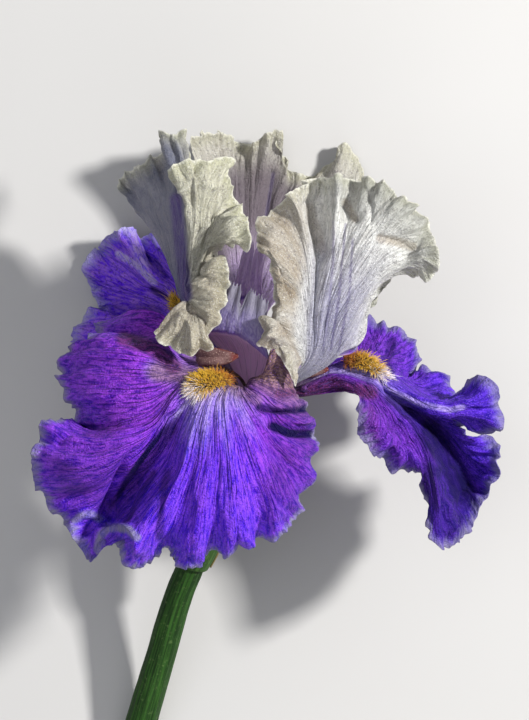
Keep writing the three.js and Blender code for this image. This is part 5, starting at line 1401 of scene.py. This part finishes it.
def make_spathe(name, turn, clearance, reach, material):
    """A bract that clasps the ovary. At u across it and v along it, it stands clearance and a swelling sine
    of v out from the stem's radius, at turn plus the wrap times 2u - 1, and the wrap narrows to a point."""
    u, v = np.meshgrid(np.linspace(0, 1, 60), np.linspace(0, 1, 90), indexing="ij")
    t = v * reach
    ahead = through(SPATHE_PATH, np.minimum(t + SLOPE_STEP, 1))
    along = unit(ahead - through(SPATHE_PATH, np.maximum(t - SLOPE_STEP, 0)))
    across = unit(FACING - along * (along @ FACING)[..., None])
    other = np.cross(along, across)
    wrap = np.radians(SPATHE_WRAP) * (1 - 0.86 * v**2.2)
    angle = np.radians(turn) + (2 * u - 1) * wrap
    pleats = 0.08 * np.sin(u * 60) * v + 0.1 * noise(u * 6, v * 4, 71)
    radius = (STEM_TOP + clearance + 1.3 * np.sin(np.pi * v) + pleats)[..., None]
    way = across * np.cos(angle)[..., None] + other * np.sin(angle)[..., None]
    middle = through(SPATHE_PATH, t) + radius * way
    rim = np.maximum(smoothstep(np.abs(2 * u - 1), 0.8, 1), smoothstep(v, 0.8, 1))
    masks = green_masks(v, angle, STEM_TOP, SPATHE_LENGTH, 0.7 * rim)
    make_shell(name, middle, np.full(u.shape, SPATHE_HALF_THICK), masks, material)


# ---- The bloom ----

# Each petal's finish has its own colours, lighter or darker to paint in the light or shade that its place
# gets
petal_finishes = {
    "fall_front": fall_finish("violet fall", "#3602d4", "#8a4aff", "#520aa0", "#ac46e8", "#8f8cac"),
    "fall_right": fall_finish("violet side fall", "#200394", "#5c30dc", "#3a0678", "#8a3ac8", "#857fa8"),
    # The back fall's colours are lightened as painted light, for it lies in the standards' shade
    "fall_back": fall_finish("violet fall with painted light", "#6420ff", "#ae78ff", "#6a20d8", "#b06cff", "#b0aae0"),
    "standard_left": standard_finish("silvery standard", "#989582", "#d2d0bc", "#9793c0", "#4f5678"),
    # The back standard's claw is a lighter lilac: its own colour lightened as painted light in the shade
    # behind the crest
    "standard_back": standard_finish("shaded standard", "#b0aea2", "#d8d6cc", "#c49cf0", "#5e545e"),
    "standard_right": standard_finish("veined standard", "#b2b2ae", "#f8f8f4", "#7f7bb4", "#64665a"),
}
beard_material = beard_finish("golden beard")
style_material = style_finish("lilac style arm", "#5f5090", "#8f86ae", "#6e6b7e")
# The back style arm's colours are lightened as painted light, for it lies in shade
far_style_material = style_finish("style arm with painted light", "#b88ed8", "#e6ccf6", "#dcc0ee")
stamen_material = stamen_finish("tan anther")
stem_material = green_finish("stem green", "#12300a", "#315c1e", "#b9b48a")
spathe_material = green_finish("spathe green", "#1d3d12", "#466a2c", "#8f7d56")
tube_material = green_finish("tube green", "#56683a", "#8a9a5e", "#8a7a9c")

for place in BEARDS:
    make_fall(f"fall_{place}", petal_finishes[f"fall_{place}"])
    make_beard(place, beard_material)
for name in ("standard_left", "standard_back", "standard_right"):
    make_standard(name, petal_finishes[name])
make_style_arm("front", -16, 1, 1, 1.07, 0.2, style_material)
make_style_arm("right", 98, 1.1, 0.87, 0.56, 0, style_material)
make_style_arm("back", 198, 0.7, 1.2, 0.5, 0, far_style_material)
make_stamen("front", -16, HOOKED, 1, 1, 0.56, 3, 90, stamen_material)
make_stamen("right", 96, STRAIGHT, 1.1, 0.88, 0.48, 1.7, 0, stamen_material)
make_stamen("back", 198, STRAIGHT, 0.85, 1.38, 0.48, 1.7, 0, stamen_material)
make_tube(tube_material)
make_spathe("spathe_outer", 200, 1.9, 1, spathe_material)
make_spathe("spathe_inner", 20, 0.85, 0.88, spathe_material)
make_stem(stem_material)

# ---- Floor, lights and camera, metres ----

FLOOR_SIDE = 8.0
VIEW_CENTRE = Vector((-0.0016, 0.0247, 0.05))
VIEW_HEIGHT = 0.2275  # what the picture's height takes in at the bloom
VIEW_DISTANCE = 6.0
SENSOR = 36.0  # millimetres
LIGHTS = {
    "key": ((0.85, 0.35, 0.85), 0.12, 21, (1.0, 0.98, 0.94)),
    "fill": ((-0.35, 0.1, 1.15), 0.9, 3.6, (0.92, 0.95, 1.0)),
    "front": ((0.1, -0.7, 0.9), 0.7, 1.6, (1.0, 1.0, 1.0)),
}  # place, side, power and tint
WORLD_STRENGTH = 0.2


def make_floor():
    """A plain pale floor under the bloom, very slightly uneven in tone."""
    half = FLOOR_SIDE / 2
    mesh = bpy.data.meshes.new("floor")
    corners = [(-half, -half, 0), (half, -half, 0), (half, half, 0), (-half, half, 0)]
    mesh.from_pydata(corners, [], [(0, 1, 2, 3)])
    material, nodes, shader = new_material("floor paper", Roughness=0.85, Specular_IOR_Level=0.2)
    dress(nodes, shader, nodes.mix(nodes.noise(nodes.place(), 6.0, 2.0), "#c9c9ca", "#cfcecd"))
    mesh.materials.append(material)
    floor = bpy.data.objects.new("floor", mesh)
    bpy.context.scene.collection.objects.link(floor)


def make_light(name, place, side, power, tint):
    """A square soft light that faces the bloom."""
    data = bpy.data.lights.new(name, "AREA")
    data.shape = "SQUARE"
    data.size = side
    data.energy = power
    data.color = tint
    light = bpy.data.objects.new(name, data)
    light.location = place
    light.rotation_mode = "QUATERNION"
    light.rotation_quaternion = (VIEW_CENTRE - Vector(place)).to_track_quat("-Z", "Y")
    bpy.context.scene.collection.objects.link(light)


def make_camera():
    """The camera straight over the bloom, with the bloom's top at the top of the picture."""
    data = bpy.data.cameras.new("camera")
    data.sensor_width = SENSOR
    data.lens = SENSOR * VIEW_DISTANCE / VIEW_HEIGHT
    data.clip_end = 100
    camera = bpy.data.objects.new("camera", data)
    camera.location = VIEW_CENTRE + Vector((0, 0, VIEW_DISTANCE))
    bpy.context.scene.collection.objects.link(camera)
    bpy.context.scene.camera = camera


make_floor()
for name, light in LIGHTS.items():
    make_light(name, *light)
make_camera()

world = bpy.data.worlds.new("studio")
world.use_nodes = True
world.node_tree.nodes["Background"].inputs["Color"].default_value = (1.0, 1.0, 1.0, 1.0)
world.node_tree.nodes["Background"].inputs["Strength"].default_value = WORLD_STRENGTH
bpy.context.scene.world = world
bpy.context.scene.view_settings.view_transform = "Standard"
